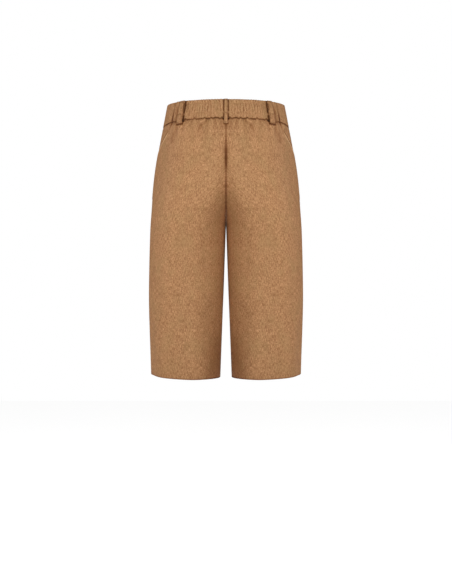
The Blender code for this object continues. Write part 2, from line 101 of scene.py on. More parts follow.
# Soft folds, a ridge (+) or trough (-) along a line. Angles run round the leg in
# degrees: 0 at the side, + towards the back and - towards the front.
Fold = namedtuple("Fold", "z_top angle_top z_end angle_end width depth")
BIG_FOLDS = (
    Fold(-0.030, 24, -0.190, 24, 13, -0.0028),
    Fold(-0.050, 52, -0.200, 55, 16, 0.0016),
    Fold(-0.010, 74, -0.064, 67, 6, -0.0020),
    Fold(-0.225, 124, -0.400, 118, 22, -0.0034),
    Fold(-0.380, 138, -0.660, 140, 26, -0.0036),
    Fold(-0.290, 74, -0.660, 66, 24, 0.0016),
    Fold(-0.040, -36, -0.190, -50, 14, -0.0018),
    Fold(-0.170, -100, -0.300, -66, 22, -0.0020),
    Fold(-0.240, -124, -0.400, -120, 22, -0.0030),
    Fold(-0.120, -82, -0.660, -86, 20, 0.0020),
    Fold(-0.380, -138, -0.660, -138, 26, -0.0032),
    Fold(-0.330, -46, -0.600, -42, 20, -0.0018),
)
FOLD_ENDS = 0.045
NO_FOLD_AT_CENTRE = 0.012

# Sharp pulls under the gathered waist seam, and lesser creases further down. Both
# have shorter ends.
PULLS = (
    Fold(-0.018, 74, -0.054, 64, 1.9, -0.0012),
    Fold(-0.018, 62, -0.040, 58, 2.0, -0.0007),
    Fold(-0.018, 54, -0.040, 51, 2.0, -0.0008),
    Fold(-0.018, 84, -0.050, 86, 1.8, -0.0008),
    Fold(-0.030, 40, -0.075, 37, 3.0, -0.0009),
)
CREASES = (
    Fold(-0.110, 80, -0.215, 58, 5.0, -0.0007),
    Fold(-0.190, 100, -0.245, 70, 5.5, -0.0009),
    Fold(-0.215, 118, -0.262, 82, 5.0, 0.0007),
    Fold(-0.250, 96, -0.330, 84, 6.0, -0.0007),
    Fold(-0.420, 60, -0.520, 54, 7.0, -0.0006),
    Fold(-0.360, 100, -0.480, 110, 7.0, 0.0006),
    Fold(-0.205, -104, -0.250, -70, 5.0, -0.0010),
    Fold(-0.222, -122, -0.285, -84, 5.5, 0.0008),
    Fold(-0.190, -92, -0.225, -58, 5.0, -0.0007),
    Fold(-0.036, -66, -0.120, -60, 6.0, -0.0006),
    Fold(-0.290, -100, -0.380, -110, 7.0, -0.0006),
    Fold(-0.420, -64, -0.530, -70, 8.0, 0.0006),
    Fold(-0.380, 104, -0.660, 100, 16.0, 0.0028),
    Fold(-0.440, 22, -0.660, 22, 12.0, -0.0024),
    Fold(-0.440, 52, -0.660, 52, 14.0, 0.0014),
)
CREASE_ENDS = 0.018

# Puckers below the elastic. Their spacing and sizes wander: a slow wave along the
# cloth, which may also climb with height.
Wander = namedtuple("Wander", "size rate climb start")
PUCKERS = 8
PUCKER_DEPTH = 0.0011
PUCKER_LENGTH = 0.030
PUCKER_SPACING = Wander(1.1, 5, 0, 1.0)
PUCKER_SIZES = Wander(0.35, 9, 0, 0.7)
NO_PUCKER_AT_SIDE = 0.08

# The pull of the seat seam, full between the inner two of its heights.
Groove = namedtuple("Groove", "z_from z_full z_fading z_to width depth")
SEAT_GROOVES = (
    Groove(-0.030, -0.080, -0.190, -0.235, 0.0150, 0.0085),
    Groove(-0.062, -0.080, -0.108, -0.128, 0.0035, 0.0030),
    Groove(-0.130, -0.160, -0.205, -0.234, 0.0080, 0.0040),
)

# Every seam edge rolls in over a few millimetres, and the gathered one goes up and down.
SEAM_WANDER = 0.00080
SEAM_WANDER_REACH = 0.006
SEAM_WANDERS = (Wander(1.0, 71, 0, 1.0), Wander(0.8, 113, 0, 0.3), Wander(0.7, 37, 0, 0.0))
SEAM_ROLL = 0.0009
SEAM_ROLL_REACH = 0.0016
SQUARE_EDGE = 0.003
EDGE_STEPS = (0.0, 0.0005, 0.0010, 0.0016, 0.0024, 0.0035, 0.0050)
PANEL_COLUMNS = 130

# Stretches of rows down a panel: where each ends, and how far apart its rows lie.
Stretch = namedtuple("Stretch", "end spacing")
PANEL_ROWS = (
    Stretch(BAND_SEAM - 0.006, 0.0010),
    Stretch(-0.100, 0.0030),
    Stretch(CROTCH + 0.012, 0.0040),
    Stretch(CROTCH - 0.010, 0.0016),
    Stretch(HEM + HEM_DEPTH + 0.004, 0.0060),
    Stretch(HEM + HEM_DEPTH - 0.004, 0.0010),
    Stretch(HEM + 0.006, 0.0050),
    Stretch(HEM + HEM_CLOTH / 2, 0.0012),
)
HEM_ROUNDING = 5
TWIN_CUT_FROM = 0.613
# Share of the painted shade that the cloth's inner faces get.
INSIDE_SHADE = 0.3
HEM_STEP = 0.0015
SHARP_EDGE = radians(55)


def rise(value, low, high):
    """0 below low and 1 above high, smooth in between."""
    share = np.clip((value - low) / (high - low), 0.0, 1.0)
    return share * share * (3 - 2 * share)


def near(distance, reach):
    """1 at no distance, falling smoothly to 0 over about twice the reach."""
    return np.exp(-((distance / reach) ** 2))


def within(span, z):
    """1 between a span's two full heights and 0 beyond its ends."""
    return rise(z, span.z_to, span.z_fading) * (1 - rise(z, span.z_full, span.z_from))


def wander(wave, place, z=0.0):
    """How far something strays at a place along the cloth, and a height."""
    return wave.size * np.sin(wave.rate * place + wave.climb * z + wave.start)


def outline(name, z):
    """A smooth curve down one column of the LEVELS table."""
    stations = np.array([level.z for level in LEVELS[::-1]])
    values = np.array([getattr(level, name) for level in LEVELS[::-1]])
    slopes = np.gradient(values, stations)
    z = np.asarray(z, float)
    cell = np.clip(np.searchsorted(stations, z) - 1, 0, len(stations) - 2)
    width = stations[cell + 1] - stations[cell]
    t = (z - stations[cell]) / width
    from_start = (1 + 2 * t) * (1 - t) ** 2 * values[cell] + t * (1 - t) ** 2 * width * slopes[cell]
    from_end = t * t * (3 - 2 * t) * values[cell + 1] + t * t * (t - 1) * width * slopes[cell + 1]
    return from_start + from_end


def leg_gap(z):
    """Half the gap between the legs, or half a seam above the crotch."""
    below = np.clip((CROTCH - z) / (CROTCH - HEM), 0.0, 1.0)
    return SEAT_GAP / 2 + (LEG_GAP_AT_HEM - SEAT_GAP / 2) * below


def oval(z, valley_length):
    """Centre and half width in X of the oval that the cloth follows at height z."""
    width = outline("half_width", z)
    share = np.clip((z - CROTCH) / valley_length, 0.0, 1.0)
    pull = (1 - share**VALLEY_START_POWER) ** VALLEY_END_POWER
    half = np.where(z > CROTCH, width / (1 + pull), (width - leg_gap(z)) / 2)
    return width - half, half


def waist_tilt(z, at_seam, at_top):
    """How far the cloth is shifted up or down at the centre back or front."""
    band = at_seam + (at_top - at_seam) * rise(z, BAND_SEAM, BAND_TOP)
    return band * rise(z, LEVEL_AGAIN, BAND_SEAM)


def bare_skin(angle, z):
    """The left half's outer face without folds, from angles round the leg and heights."""
    angle, z = np.broadcast_arrays(np.asarray(angle, float), np.asarray(z, float))
    back = angle >= 0
    centre, half = np.where(back, oval(z, BACK_VALLEY), oval(z, FRONT_VALLEY))
    depth = np.where(back, outline("back", z), outline("front", z))
    tilt = np.where(
        back,
        waist_tilt(z, BACK_RISE_SEAM, BACK_RISE_TOP),
        waist_tilt(z, FRONT_DIP_SEAM, FRONT_DIP_TOP),
    )
    dip = SIDE_DIP * (1 - rise(z, BAND_SEAM, BAND_TOP)) * rise(z, LEVEL_AGAIN, BAND_SEAM)
    dip = dip * np.where(back, near(angle, SIDE_DIP_REACH), np.cos(angle) ** 2)
    x = centre + half * np.cos(angle)
    outside = np.clip((x - leg_gap(z)) / (2 * half), 0.0, 1.0)
    hem_lift = HEM_LIFT_OUTSIDE * outside * (1 - rise(z, HEM, HEM + HEM_LIFT_FADES))
    height = z + tilt * np.sin(angle) - dip + hem_lift
    return np.stack([x, depth * np.sin(angle), height], -1)


def outward(face, angle, z):
    """Unit normals of a face given as a function of angle and height."""
    round_it = face(angle + 1e-3, z) - face(angle - 1e-3, z)
    up = face(angle, z + 1e-4) - face(angle, z - 1e-4)
    normal = np.cross(round_it, up)
    return normal / np.linalg.norm(normal, axis=-1, keepdims=True)


def fold_height(folds, ends_length, angle, z):
    """A table of soft folds, added together."""
    height = np.zeros(np.broadcast(angle, z).shape)
    for fold in folds:
        down = np.clip((fold.z_top - z) / (fold.z_top - fold.z_end), 0.0, 1.0)
        middle = fold.angle_top + (fold.angle_end - fold.angle_top) * down
        aside = (np.degrees(angle) - middle + 180) % 360 - 180
        ends = rise(z, fold.z_end, fold.z_end + ends_length)
        ends = ends * (1 - rise(z, fold.z_top - ends_length, fold.z_top))
        height = height + fold.depth * ends * near(aside, fold.width)
    return height


def pucker_wave(angle, z):
    """The small waves of the back under its elastic."""
    below = np.clip(BAND_SEAM - z, 0.0, None)
    across = np.clip((angle - SIDE_SEAM_AT_WAIST) / (pi / 2 - SIDE_SEAM_AT_WAIST), 0.0, 1.0)
    wave = np.cos(2 * pi * PUCKERS * across + wander(PUCKER_SPACING, across))
    size = 1 - PUCKER_SIZES.size + wander(PUCKER_SIZES, across)
    fade = near(below, PUCKER_LENGTH) * rise(across, 0.0, NO_PUCKER_AT_SIDE)
    return PUCKER_DEPTH * wave * size * fade


def pucker_height(angle, z):
    """The puckers, and the blouse of the cloth over the seam."""
    below = np.clip(BAND_SEAM - z, 0.0, None)
    inside = rise(angle, SIDE_SEAM_AT_WAIST, SIDE_SEAM_AT_WAIST + BLOUSE_SIDE)
    blouse = BLOUSE * (1 - np.exp(-below / BLOUSE_LENGTH)) * rise(z, LEVEL_AGAIN, BAND_SEAM)
    return pucker_wave(angle, z) + inside * blouse


def side_seam(z):
    """The angle of the side seam, which the elastic pulls towards the back."""
    return SIDE_SEAM_AT_WAIST * rise(z, SIDE_SEAM_STRAIGHT, BAND_SEAM)


# The pocket mouth in the side seam, whose back edge rolls outwards.
MOUTH_TOP, MOUTH_END = -0.037, -0.185
MOUTH_GAP = 0.0012
MOUTH_CORNER = 0.006
MOUTH_ROLL = 0.0010
MOUTH_ROLL_REACH = radians(3.5)


def mouth(z):
    """1 along the pocket mouth and 0 above and below."""
    end = rise(z, MOUTH_END, MOUTH_END + MOUTH_CORNER)
    return end * (1 - rise(z, MOUTH_TOP - MOUTH_CORNER, MOUTH_TOP))


def seat_groove(x, z):
    """How far the seat seam draws the cloth in, as a sum of grooves along it."""
    depth = np.zeros(x.shape)
    for groove in SEAT_GROOVES:
        depth = depth + groove.depth * within(groove, z) * np.exp(-np.abs(x / groove.width))
    return depth


def seam_wander(angle, z):
    """The small ups and downs of the gathered waist seam."""
    waves = sum(wander(wave, angle) for wave in SEAM_WANDERS)
    return SEAM_WANDER * waves * near(z - BAND_SEAM, SEAM_WANDER_REACH) * (angle > SIDE_SEAM_AT_WAIST)


def skin(angle, z):
    """The left half's outer face, with its folds."""
    angle, z = np.broadcast_arrays(np.asarray(angle, float), np.asarray(z, float))
    bare = bare_skin(angle, z)
    height = fold_height(BIG_FOLDS, FOLD_ENDS, angle, z) + pucker_height(angle, z)
    height = height + fold_height(PULLS + CREASES, CREASE_ENDS, angle, z)
    behind = angle - side_seam(z)
    height = height + MOUTH_ROLL * mouth(z) * near(behind, MOUTH_ROLL_REACH) * (behind > 0)
    height = height * rise(bare[..., 0], 0.0, NO_FOLD_AT_CENTRE) * (z < BAND_SEAM)
    face = bare + height[..., None] * outward(bare_skin, angle, z)
    face[..., 1] -= seat_groove(bare[..., 0], z) * (angle > 0)
    face[..., 2] += seam_wander(angle, z)
    return face


def end_angle(z, valley_length):
    """The angle where a leg meets its twin at the centre, or the inseam lower down."""
    centre, half = oval(z, valley_length)
    inseam = pi - SEAT_GAP / 2 / outline("back", z)
    return np.minimum(np.arccos(np.clip((SEAT_GAP / 2 - centre) / half, -1, 1)), inseam)


def heights_down(start, stretches):
    """Row heights from start through each stretch."""
    heights = [start]
    for stretch in stretches:
        count = max(1, round((heights[-1] - stretch.end) / stretch.spacing))
        heights += list(np.linspace(heights[-1], stretch.end, count + 1)[1:])
    return np.array(heights)


def spread(first, last, z, columns):
    """Angles for one row of a panel, even along the cloth and closer at its edges.

    Also gives the length along the cloth from the first edge to each of them.
    """
    fine = np.linspace(first, last, 241)
    steps = np.linalg.norm(np.diff(bare_skin(fine, z), axis=0), axis=1)
    length = np.concatenate([[0.0], np.cumsum(steps)])
    edge = np.array(EDGE_STEPS)
    inner = np.linspace(edge[-1], length[-1] - edge[-1], columns + 1)[1:-1]
    along = np.concatenate([edge, inner, length[-1] - edge[::-1]])
    return np.interp(along, length, fine), along


def shell(name, outer, inner, flat_places, bottom_rounding=0, top_rounding=0):
    """A closed mesh of cloth from grids of outer and inner points, rows from the top down.

    flat_places holds where each point lies on the flat cloth, which becomes the UV map,
    and its painted shade: 1 for the darkest painted shade in a seam, below 0 for a painted
    highlight along an edge.
    A rounded edge is a fold, with rows of points round half a circle.
    """
    rows, columns = outer.shape[:2]

    def fold_round(end, next_to_end, count):
        """Rows of points round a folded edge, from the outer to the inner face."""
        middle = (outer[end] + inner[end]) / 2
        out = (outer[end] - inner[end]) / 2
        beyond = outer[end] - outer[next_to_end]
        share = np.sum(beyond * out, -1, keepdims=True) / np.sum(out * out, -1, keepdims=True)
        beyond = beyond - share * out
        beyond *= (np.linalg.norm(out, axis=-1) / np.linalg.norm(beyond, axis=-1))[:, None]
        turns = np.linspace(0, pi, count + 2)[1:-1]
        return [middle + out * np.cos(turn) + beyond * np.sin(turn) for turn in turns]

    bottom = fold_round(-1, -2, bottom_rounding) if bottom_rounding else []
    top = fold_round(0, 1, top_rounding)[::-1] if top_rounding else []
    ring = list(outer) + bottom + list(inner[::-1]) + top
    # The inner faces get only a share of the painted shade.
    inside_places = flat_places[::-1] * np.array([1.0, 1.0, INSIDE_SHADE])
    places = list(flat_places) + [flat_places[-1]] * len(bottom)
    places += list(inside_places) + [flat_places[0]] * len(top)
    points = np.concatenate(ring)
    places = np.concatenate(places)
    faces = []
    for i in range(len(ring)):
        here, following = i * columns, (i + 1) % len(ring) * columns
        for j in range(columns - 1):
            faces.append((here + j, following + j, following + j + 1, here + j + 1))
    inner_first = rows + len(bottom)
    for side in (0, columns - 1):
        facing = slice(None) if side == 0 else slice(None, None, -1)
        for i in range(rows - 1):
            across = inner_first + rows - 1 - i
            corner = (i, across, across - 1, i + 1)
            faces.append(tuple(k * columns + side for k in corner)[facing])
        if bottom:
            rounded = range(rows - 1, inner_first + 1)
            faces.append(tuple(k * columns + side for k in rounded)[::-1][facing])
        if top:
            rounded = [*range(inner_first + rows - 1, len(ring)), 0]
            faces.append(tuple(k * columns + side for k in rounded)[::-1][facing])
    return cloth_mesh(name, points, faces, places)


def cloth_mesh(name, points, faces, places):
    """A smooth mesh with a UV map in metres of cloth, and the painted shade at each point."""
    mesh = bpy.data.meshes.new(name)
    mesh.from_pydata(points.tolist(), [], faces)
    layer = mesh.uv_layers.new(name="cloth")
    corners = np.zeros(len(mesh.loops), int)
    mesh.loops.foreach_get("vertex_index", corners)
    layer.uv.foreach_set("vector", places[corners, :2].ravel())
    # The painted shade of each point, or a painted highlight below 0, read by the cloth's colour.
    tucked = mesh.attributes.new("tucked", "FLOAT", "POINT")
    tucked.data.foreach_set("value", places[:, 2])
    mesh.shade_smooth()
    mesh.set_sharp_from_angle(angle=SHARP_EDGE)
    return mesh


def mirrored(mesh, name):
    """The same cloth on the other side of the body, from another part of the length."""
    twin = mesh.copy()
    twin.name = name
    flat = np.zeros(len(twin.loops) * 2)
    twin.uv_layers["cloth"].uv.foreach_get("vector", flat)
    twin.uv_layers["cloth"].uv.foreach_set("vector", flat + TWIN_CUT_FROM)
    places = np.zeros(len(twin.vertices) * 3)
    twin.vertices.foreach_get("co", places)
    places[::3] *= -1
    twin.vertices.foreach_set("co", places)
    twin.flip_normals()
    return twin


def piece_of(mesh, finish, slot_name, *nodes):
    """An object that takes the place of its solids and rides on the one body."""
    piece = bpy.data.objects.new(mesh.name, mesh)
    bpy.context.scene.collection.objects.link(piece)
    if finish.name not in mesh.materials:
        mesh.materials.append(finish)
    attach(piece, "root")
    if nodes:
        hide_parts(*nodes)
    return piece


def rolled_in(grid, normals, along):
    """A grid of points with its seam edges rolled in, without parting it from its twin."""
    from_edge = np.minimum(along, along[:, -1:] - along)
    from_top = np.linalg.norm(grid - grid[:1], axis=-1)
    dip = SEAM_ROLL * near(np.minimum(from_edge, from_top), SEAM_ROLL_REACH)
    moved = -dip[..., None] * normals
    moved[..., 0] *= rise(np.abs(grid[..., 0]), 0.0, NO_FOLD_AT_CENTRE)
    return grid + moved


def lined(outer, normals, z):
    """The inner face, whose edge at the centre stays square to the twin's."""
    squared = near(outer[..., 0], SQUARE_EDGE)
    inwards = normals.copy()
    inwards[..., 1] += squared * np.sign(normals[..., 1]) * np.abs(normals[..., 0]) / 2
    inwards[..., 0] *= 1 - squared
    return outer - cloth_thickness(z)[..., None] * inwards


def cloth_thickness(z):
    """Single cloth, and the turned-up hem."""
    turned_up = 1 - rise(z, HEM + HEM_DEPTH - HEM_STEP, HEM + HEM_DEPTH + HEM_STEP)
    return CLOTH + (HEM_CLOTH - CLOTH) * turned_up


GRAIN_LINE = radians(62)

# Painted shade at each kind of seam: how much it darkens the cloth's colour, and how far that reaches from
# it.
Shade = namedtuple("Shade", "strength reach")
SIDE_SHADE = Shade(0.50, 0.0010)
CENTRE_SHADE = Shade(0.75, 0.0010)
SEAT_SHADE = Shade(0.60, 0.0026)
MOUTH_SHADE = Shade(0.75, 0.0035)
WAIST_SHADE = Shade(1.0, 0.0021)
HEM_LINE_SHADE = Shade(0.10, 0.0012)
JOINT_SHADE = Shade(0.85, 0.0034)
JOINT_HEIGHT = 0.009
CENTRE_LEAST, WAIST_LEAST = 0.6, 0.4

# Painted shade in the creases, on the inner side of the leg where the legs shade each other, and at the hem.
CREASE_SHADE = 0.36
CREASE_FULL_DEPTH, CREASE_DARKEST = 0.0011, 1.2
PUCKER_SHARE = 0.6
INSEAM_SHADE = 0.33
INSEAM_HEIGHTS, INSEAM_WIDTHS = (-0.56, -0.42), (0.045, 0.100)
HEM_SHADE = 0.05
HEM_EDGE_SHADE, HEM_EDGE_HEIGHT = 0.25, 0.0045

# Where painted shade darkens the seat seam.
SeatShade = namedtuple("SeatShade", "z_from z_full z_fading z_to share")
SEAT_SHADES = (
    SeatShade(-0.062, -0.086, -0.104, -0.130, 1.0),
    SeatShade(-0.130, -0.160, -0.190, -0.236, 0.5),
)

# A painted highlight on the rolled edge of the pocket mouth, which fades at its top and lower down.
MOUTH_HIGHLIGHT = Shade(-1.0, 0.0025)
MOUTH_HIGHLIGHT_MIDDLE = 0.0028
MOUTH_HIGHLIGHT_TOP, MOUTH_HIGHLIGHT_LOW = (-0.052, -0.042), (-0.170, -0.110)
MOUTH_HIGHLIGHT_LEAST = 0.3


def shaded(shade, distance):
    """How much painted shade the cloth gets at a distance from a seam."""
    return shade.strength * near(distance, shade.reach)


def panel_painted_shade(angles, along, z, at_back):
    """The painted shade at each point of a leg: its seams, its hem line and the loops' shade."""
    from_side = along
    from_centre = along[:, -1:] - along
    below = BAND_SEAM - z
    creased = fold_height(PULLS, CREASE_ENDS, angles, z) + PUCKER_SHARE * pucker_wave(angles, z)
    # Painted shade low on the inner leg, where the legs shade each other, and over the turned-up hem and its
    # edge.
    low = INSEAM_SHADE * (1 - rise(z, *INSEAM_HEIGHTS)) * (1 - rise(from_centre, *INSEAM_WIDTHS))
    low = low + HEM_SHADE * (1 - rise(z, HEM, HEM + HEM_DEPTH))
    low = low + HEM_EDGE_SHADE * (1 - rise(z, HEM + HEM_CLOTH / 2, HEM + HEM_EDGE_HEIGHT))
    painted = np.maximum.reduce([
        shaded(SIDE_SHADE, from_side),
        shaded(CENTRE_SHADE, from_centre) * uneven(z, 1.0, CENTRE_LEAST),
        shaded(WAIST_SHADE, below) * uneven(along, 4.0, WAIST_LEAST),
        shaded(HEM_LINE_SHADE, z - HEM - HEM_DEPTH) * uneven(along, 7.0),
        shaded(JOINT_SHADE, from_side) * near(below, JOINT_HEIGHT),
        CREASE_SHADE * np.clip(-creased / CREASE_FULL_DEPTH, 0.0, CREASE_DARKEST),
        loop_shade(angles, z),
        low,
    ])
    if not at_back:
        return np.maximum(painted, shaded(MOUTH_SHADE, from_side) * mouth(z))
    seat = sum(span.share * within(span, z) for span in SEAT_SHADES)
    painted = np.maximum(painted, seat * shaded(SEAT_SHADE, from_centre))
    # Painted highlight along the pocket mouth's rolled edge, mixed in as negative shade.
    pale = near(from_side - MOUTH_HIGHLIGHT_MIDDLE, MOUTH_HIGHLIGHT.reach) * mouth(z)
    pale = pale * (1 - rise(z, *MOUTH_HIGHLIGHT_TOP))
    pale = pale * (MOUTH_HIGHLIGHT_LEAST + (1 - MOUTH_HIGHLIGHT_LEAST) * rise(z, *MOUTH_HIGHLIGHT_LOW))
    return painted * (1 - pale) + MOUTH_HIGHLIGHT.strength * pale


def from_grain_line(angles, along):
    """Lengths along each row from the grain line that hangs down the middle of a leg."""
    grain = [np.interp(GRAIN_LINE, np.abs(turn), place) for turn, place in zip(angles, along)]
    return along - np.array(grain)[:, None]


def leg_panel(name, first_angle, last_angle, lap=None, lift=None):
    """A back or front leg between two seams, as a closed mesh of cloth.

    A lap carries it past the last seam over its twin, and lifts it off.
    """
    heights = heights_down(BAND_SEAM - SEAM_GAP / 2, PANEL_ROWS)
    seam = np.array([last_angle(height) for height in heights])[:, None]
    ends = [end - (lap(height) if lap else 0.0) for end, height in zip(seam[:, 0], heights)]
    angles, along = zip(*[
        spread(first_angle(height), end, height, PANEL_COLUMNS) for height, end in zip(heights, ends)
    ])
    angles, along = np.array(angles), np.array(along)
    z = np.repeat(heights[:, None], angles.shape[1], 1)
    beyond = (angles < seam) & (lap is not None)
    folded = np.where(beyond, 2 * seam - angles, angles)
    face, normals = skin(folded, z), outward(skin, folded, z)
    face[beyond, 0] *= -1
    normals[beyond, 0] *= -1
    if lift:
        face[..., :2] += lift(-face[..., 0], z)[..., None] * normals[..., :2]
    outer = rolled_in(face, normals, along)
    painted = panel_painted_shade(angles, along, z, angles[0, -1] > 0)
    places = np.stack([from_grain_line(angles, along), z, painted], -1)
    return shell(name, outer, lined(outer, normals, z), places, bottom_rounding=HEM_ROUNDING)


# Belt loops, as the cloth under them needs their places too. Angles as for folds.
# The shade columns set the painted shade and shadow on the cloth beside each loop, and edge_in the painted
# shade on its inner edge.
Loop = namedtuple(
    "Loop", "name side angle width below_seam lean shade_in shade_out shade_below shade_off edge_in"
)
LOOPS = (
    Loop("loop_back_centre", +1, radians(90), 0.0078, 0.012, 0.0, 1.0, 1.0, 0.15, 0.0002, 0.6),
    Loop("loop_back_left", +1, radians(45), 0.0145, 0.007, 0.6, 1.0, 0.85, 0.80, 0.0003, 0.3),
    Loop("loop_back_right", -1, radians(45), 0.0145, 0.007, 0.6, 1.0, 0.85, 0.80, 0.0003, 0.3),
    Loop("loop_front_left", +1, radians(-48), 0.0145, 0.008, -0.3, 0.4, 0.6, 0.50, 0.0003, 0.3),
    Loop("loop_front_right", -1, radians(-48), 0.0145, 0.008, -0.3, 0.4, 0.6, 0.50, 0.0003, 0.3),
)

# Painted shade beside a loop, paler at its tack; the painted shadow a leaning one casts
# aside; painted shade at its corners by the waist seam; and painted shade below its end.
LOOP_SHADE_REACH, LOOP_SHADE_LEAST = 0.0011, 0.6
LOOP_TACK, LOOP_TACK_REACH, LOOP_TACK_PALER = -0.0095, 0.0028, 0.75
LOOP_END_SOFT, LOOP_FADE = 0.001, 0.004
LOOP_CAST = Shade(0.4, 0.005)
LOOP_CAST_MIDDLE, LOOP_CAST_TOP = 0.004, 0.018
LOOP_CORNER = Shade(1.5, 0.0040)
LOOP_CORNER_DROP, LOOP_CORNER_HEIGHT = 0.0020, 0.0034
LOOP_UNDER_DROP, LOOP_UNDER_REACH = 0.0011, 0.0018
LOOP_UNDER_WIDTHS = (0.0006, 0.0030)


def loop_shade(angle, z):
    """The painted shade and shadow on the cloth beside and under the belt loops, on either half."""
    angle = np.where(np.cos(angle) < 0, pi - angle, angle)
    reach = np.hypot(outline("half_width", 0.0) * np.sin(angle), outline("back", 0.0) * np.cos(angle))
    shade = np.zeros(np.broadcast(angle, z).shape)
    for loop in LOOPS:
        if loop.side < 0:
            continue
        end = BAND_SEAM - loop.below_seam
        across = (angle - loop.angle) * reach
        beyond = np.abs(across) - loop.width / 2
        strength = np.where(across > 0, loop.shade_in, loop.shade_out)
        beside = strength * near(beyond - loop.shade_off, LOOP_SHADE_REACH * (LOOP_SHADE_LEAST + strength))
        beside = beside * (1 - LOOP_TACK_PALER * near(z - LOOP_TACK, LOOP_TACK_REACH))
        beside = beside * rise(z, end - LOOP_END_SOFT, end + LOOP_END_SOFT)
        cast = (loop.lean > 0) * (across < 0) * shaded(LOOP_CAST, beyond - LOOP_CAST_MIDDLE)
        cast = cast * rise(z, end, end + LOOP_FADE) * (1 - rise(z, 0.0, LOOP_CAST_TOP))
        kept = loop.shade_below + (1 - loop.shade_below) * rise(z, BAND_SEAM - LOOP_FADE, BAND_SEAM)
        corner = shaded(LOOP_CORNER, np.clip(beyond, 0, None))
        corner = corner * near(z - BAND_SEAM + LOOP_CORNER_DROP, LOOP_CORNER_HEIGHT)
        under = near(z - end + LOOP_UNDER_DROP, LOOP_UNDER_REACH) * (1 - rise(beyond, *LOOP_UNDER_WIDTHS))
        beside = np.maximum(beside, cast) * kept
        shade = np.maximum.reduce([shade, beside, np.clip(corner, 0.0, 1.0), under])
    return shade


def uneven(place, seed, least=0.0):
    """A smooth wander from the least share to 1 along a seam, on its own course for each seed."""
    course = np.sin(place * 430 + seed) * np.sin(place * 171 + 2.3 * seed) + np.sin(place * 67 + 5 * seed)
    return least + (1 - least) * (0.5 + 0.25 * course)


def seam_clearance(z):
    """Half the gap at the side seam as an angle, wider along the pocket mouth."""
    gap = SEAT_GAP + (MOUTH_GAP - SEAT_GAP) * mouth(z)
    return gap / 2 / outline("back", z)


# Melange suiting: warp and weft of mixed light, camel, brown and olive fibres in a
# fine uneven weave, dry and matt with a little nap.
THREAD = 0.0011
SLUB_WIDE, SLUB_LONG = 0.0014, 0.0070
CAMEL = (0.456, 0.225, 0.100)
PALE = (0.645, 0.352, 0.172)
BROWN = (0.270, 0.116, 0.050)
OLIVE = (0.395, 0.242, 0.100)
# Colours of the painted shade, half and full, and of the painted highlight.
PAINTED_SHADE_HALF = (0.52, 0.38, 0.28)
PAINTED_SHADE_FULL = (0.10, 0.065, 0.045)
PAINTED_HIGHLIGHT = (0.800, 0.520, 0.280)
DARK_AT, MIDDLE_AT, LIGHT_AT = 0.375, 0.50, 0.625

# What the mottle is made of: the size of the lumps across and along the cloth, and
# how much each layer counts. Larger patches turn the cloth a little to olive.
Layer = namedtuple("Layer", "across along detail rough share")
LAYERS = (
    Layer(SLUB_WIDE, SLUB_LONG, 3.0, 0.6, 0.50),
    Layer(SLUB_LONG, SLUB_WIDE, 3.0, 0.6, 0.20),
    Layer(THREAD, 1.6 * THREAD, 1.0, 0.5, 0.24),
    Layer(0.014, 0.022, 2.0, 0.5, 0.10),
)
MOTTLE_SHIFT = -0.02
PATCH_WIDE, PATCH_LONG = 0.030, 0.045
OLIVE_FROM, OLIVE_SHARE = 0.42, 0.9
THREAD_RELIEF, SLUB_RELIEF = 0.35, 1.2
RELIEF, RELIEF_STRENGTH = 0.0006, 0.5
DULLNESS, DULLNESS_CHANGE = 0.60, 0.12


class Quantity:
    """A shader socket that can be calculated with."""

    def __init__(self, finish, socket):
        self.finish, self.socket = finish, socket

    def maths(self, operation, first, second):
        """A Math node on two values."""
        return self.finish.node("ShaderNodeMath", {"operation": operation}, {0: first, 1: second})

    def __add__(self, other):
        return self.maths("ADD", self, other)

    def __sub__(self, other):
        return self.maths("SUBTRACT", self, other)

    def __rsub__(self, other):
        return self.maths("SUBTRACT", other, self)

    def __mul__(self, other):
        return self.maths("MULTIPLY", self, other)

    __radd__ = __add__
    __rmul__ = __mul__


class Finish:
    """A material under construction, on one Principled shader."""

    def __init__(self, name, **constants):
        self.material = bpy.data.materials.new(name)
        self.material.use_nodes = True
        self.tree = self.material.node_tree
        self.shader = self.tree.nodes["Principled BSDF"]
        for socket, value in constants.items():
            self.shader.inputs[socket.replace("_", " ")].default_value = value

    def node(self, kind, settings=None, inputs=None, output=0):
        """Any node: its settings, then the values or links of its sockets."""
        made = self.tree.nodes.new(kind)
        for key, value in (settings or {}).items():
            if key == "stops":
                ramp = made.color_ramp
                while len(ramp.elements) < len(value):
                    ramp.elements.new(1.0)
                for element, (place, colour) in zip(ramp.elements, value):
                    element.position = place
                    element.color = (*colour, 1.0)
            else:
                setattr(made, key, value)
        for key, value in (inputs or {}).items():
            if isinstance(value, Quantity):
                self.tree.links.new(value.socket, made.inputs[key])
            else:
                made.inputs[key].default_value = value
        return Quantity(self, made.outputs[output])

    def feed(self, socket, value):
        """Links a value that varies over the surface to the shader."""
        self.tree.links.new(value.socket, self.shader.inputs[socket])

    def stretched(self, place, across, along):
        """A vector of the flat cloth, in units of the given sizes."""
        scale = (1 / across, 1 / along, 1.0)
        return self.node("ShaderNodeMapping", None, {"Vector": place, "Scale": scale})

    def noise(self, vector, detail=2.0, rough=0.5):
        """Grey noise between about 0.3 and 0.7, one lump for each unit of the vector."""
        return self.node(
            "ShaderNodeTexNoise",
            {"noise_dimensions": "2D"},
            {"Vector": vector, "Scale": 1.0, "Detail": detail, "Roughness": rough},
        )

    def mixed(self, share, first, second, blend="MIX"):
        """Two colours mixed by a share."""
        return self.node(
            "ShaderNodeMix",
            {"data_type": "RGBA", "blend_type": blend},
            {0: share, 6: first, 7: second},
            output=2,
        )


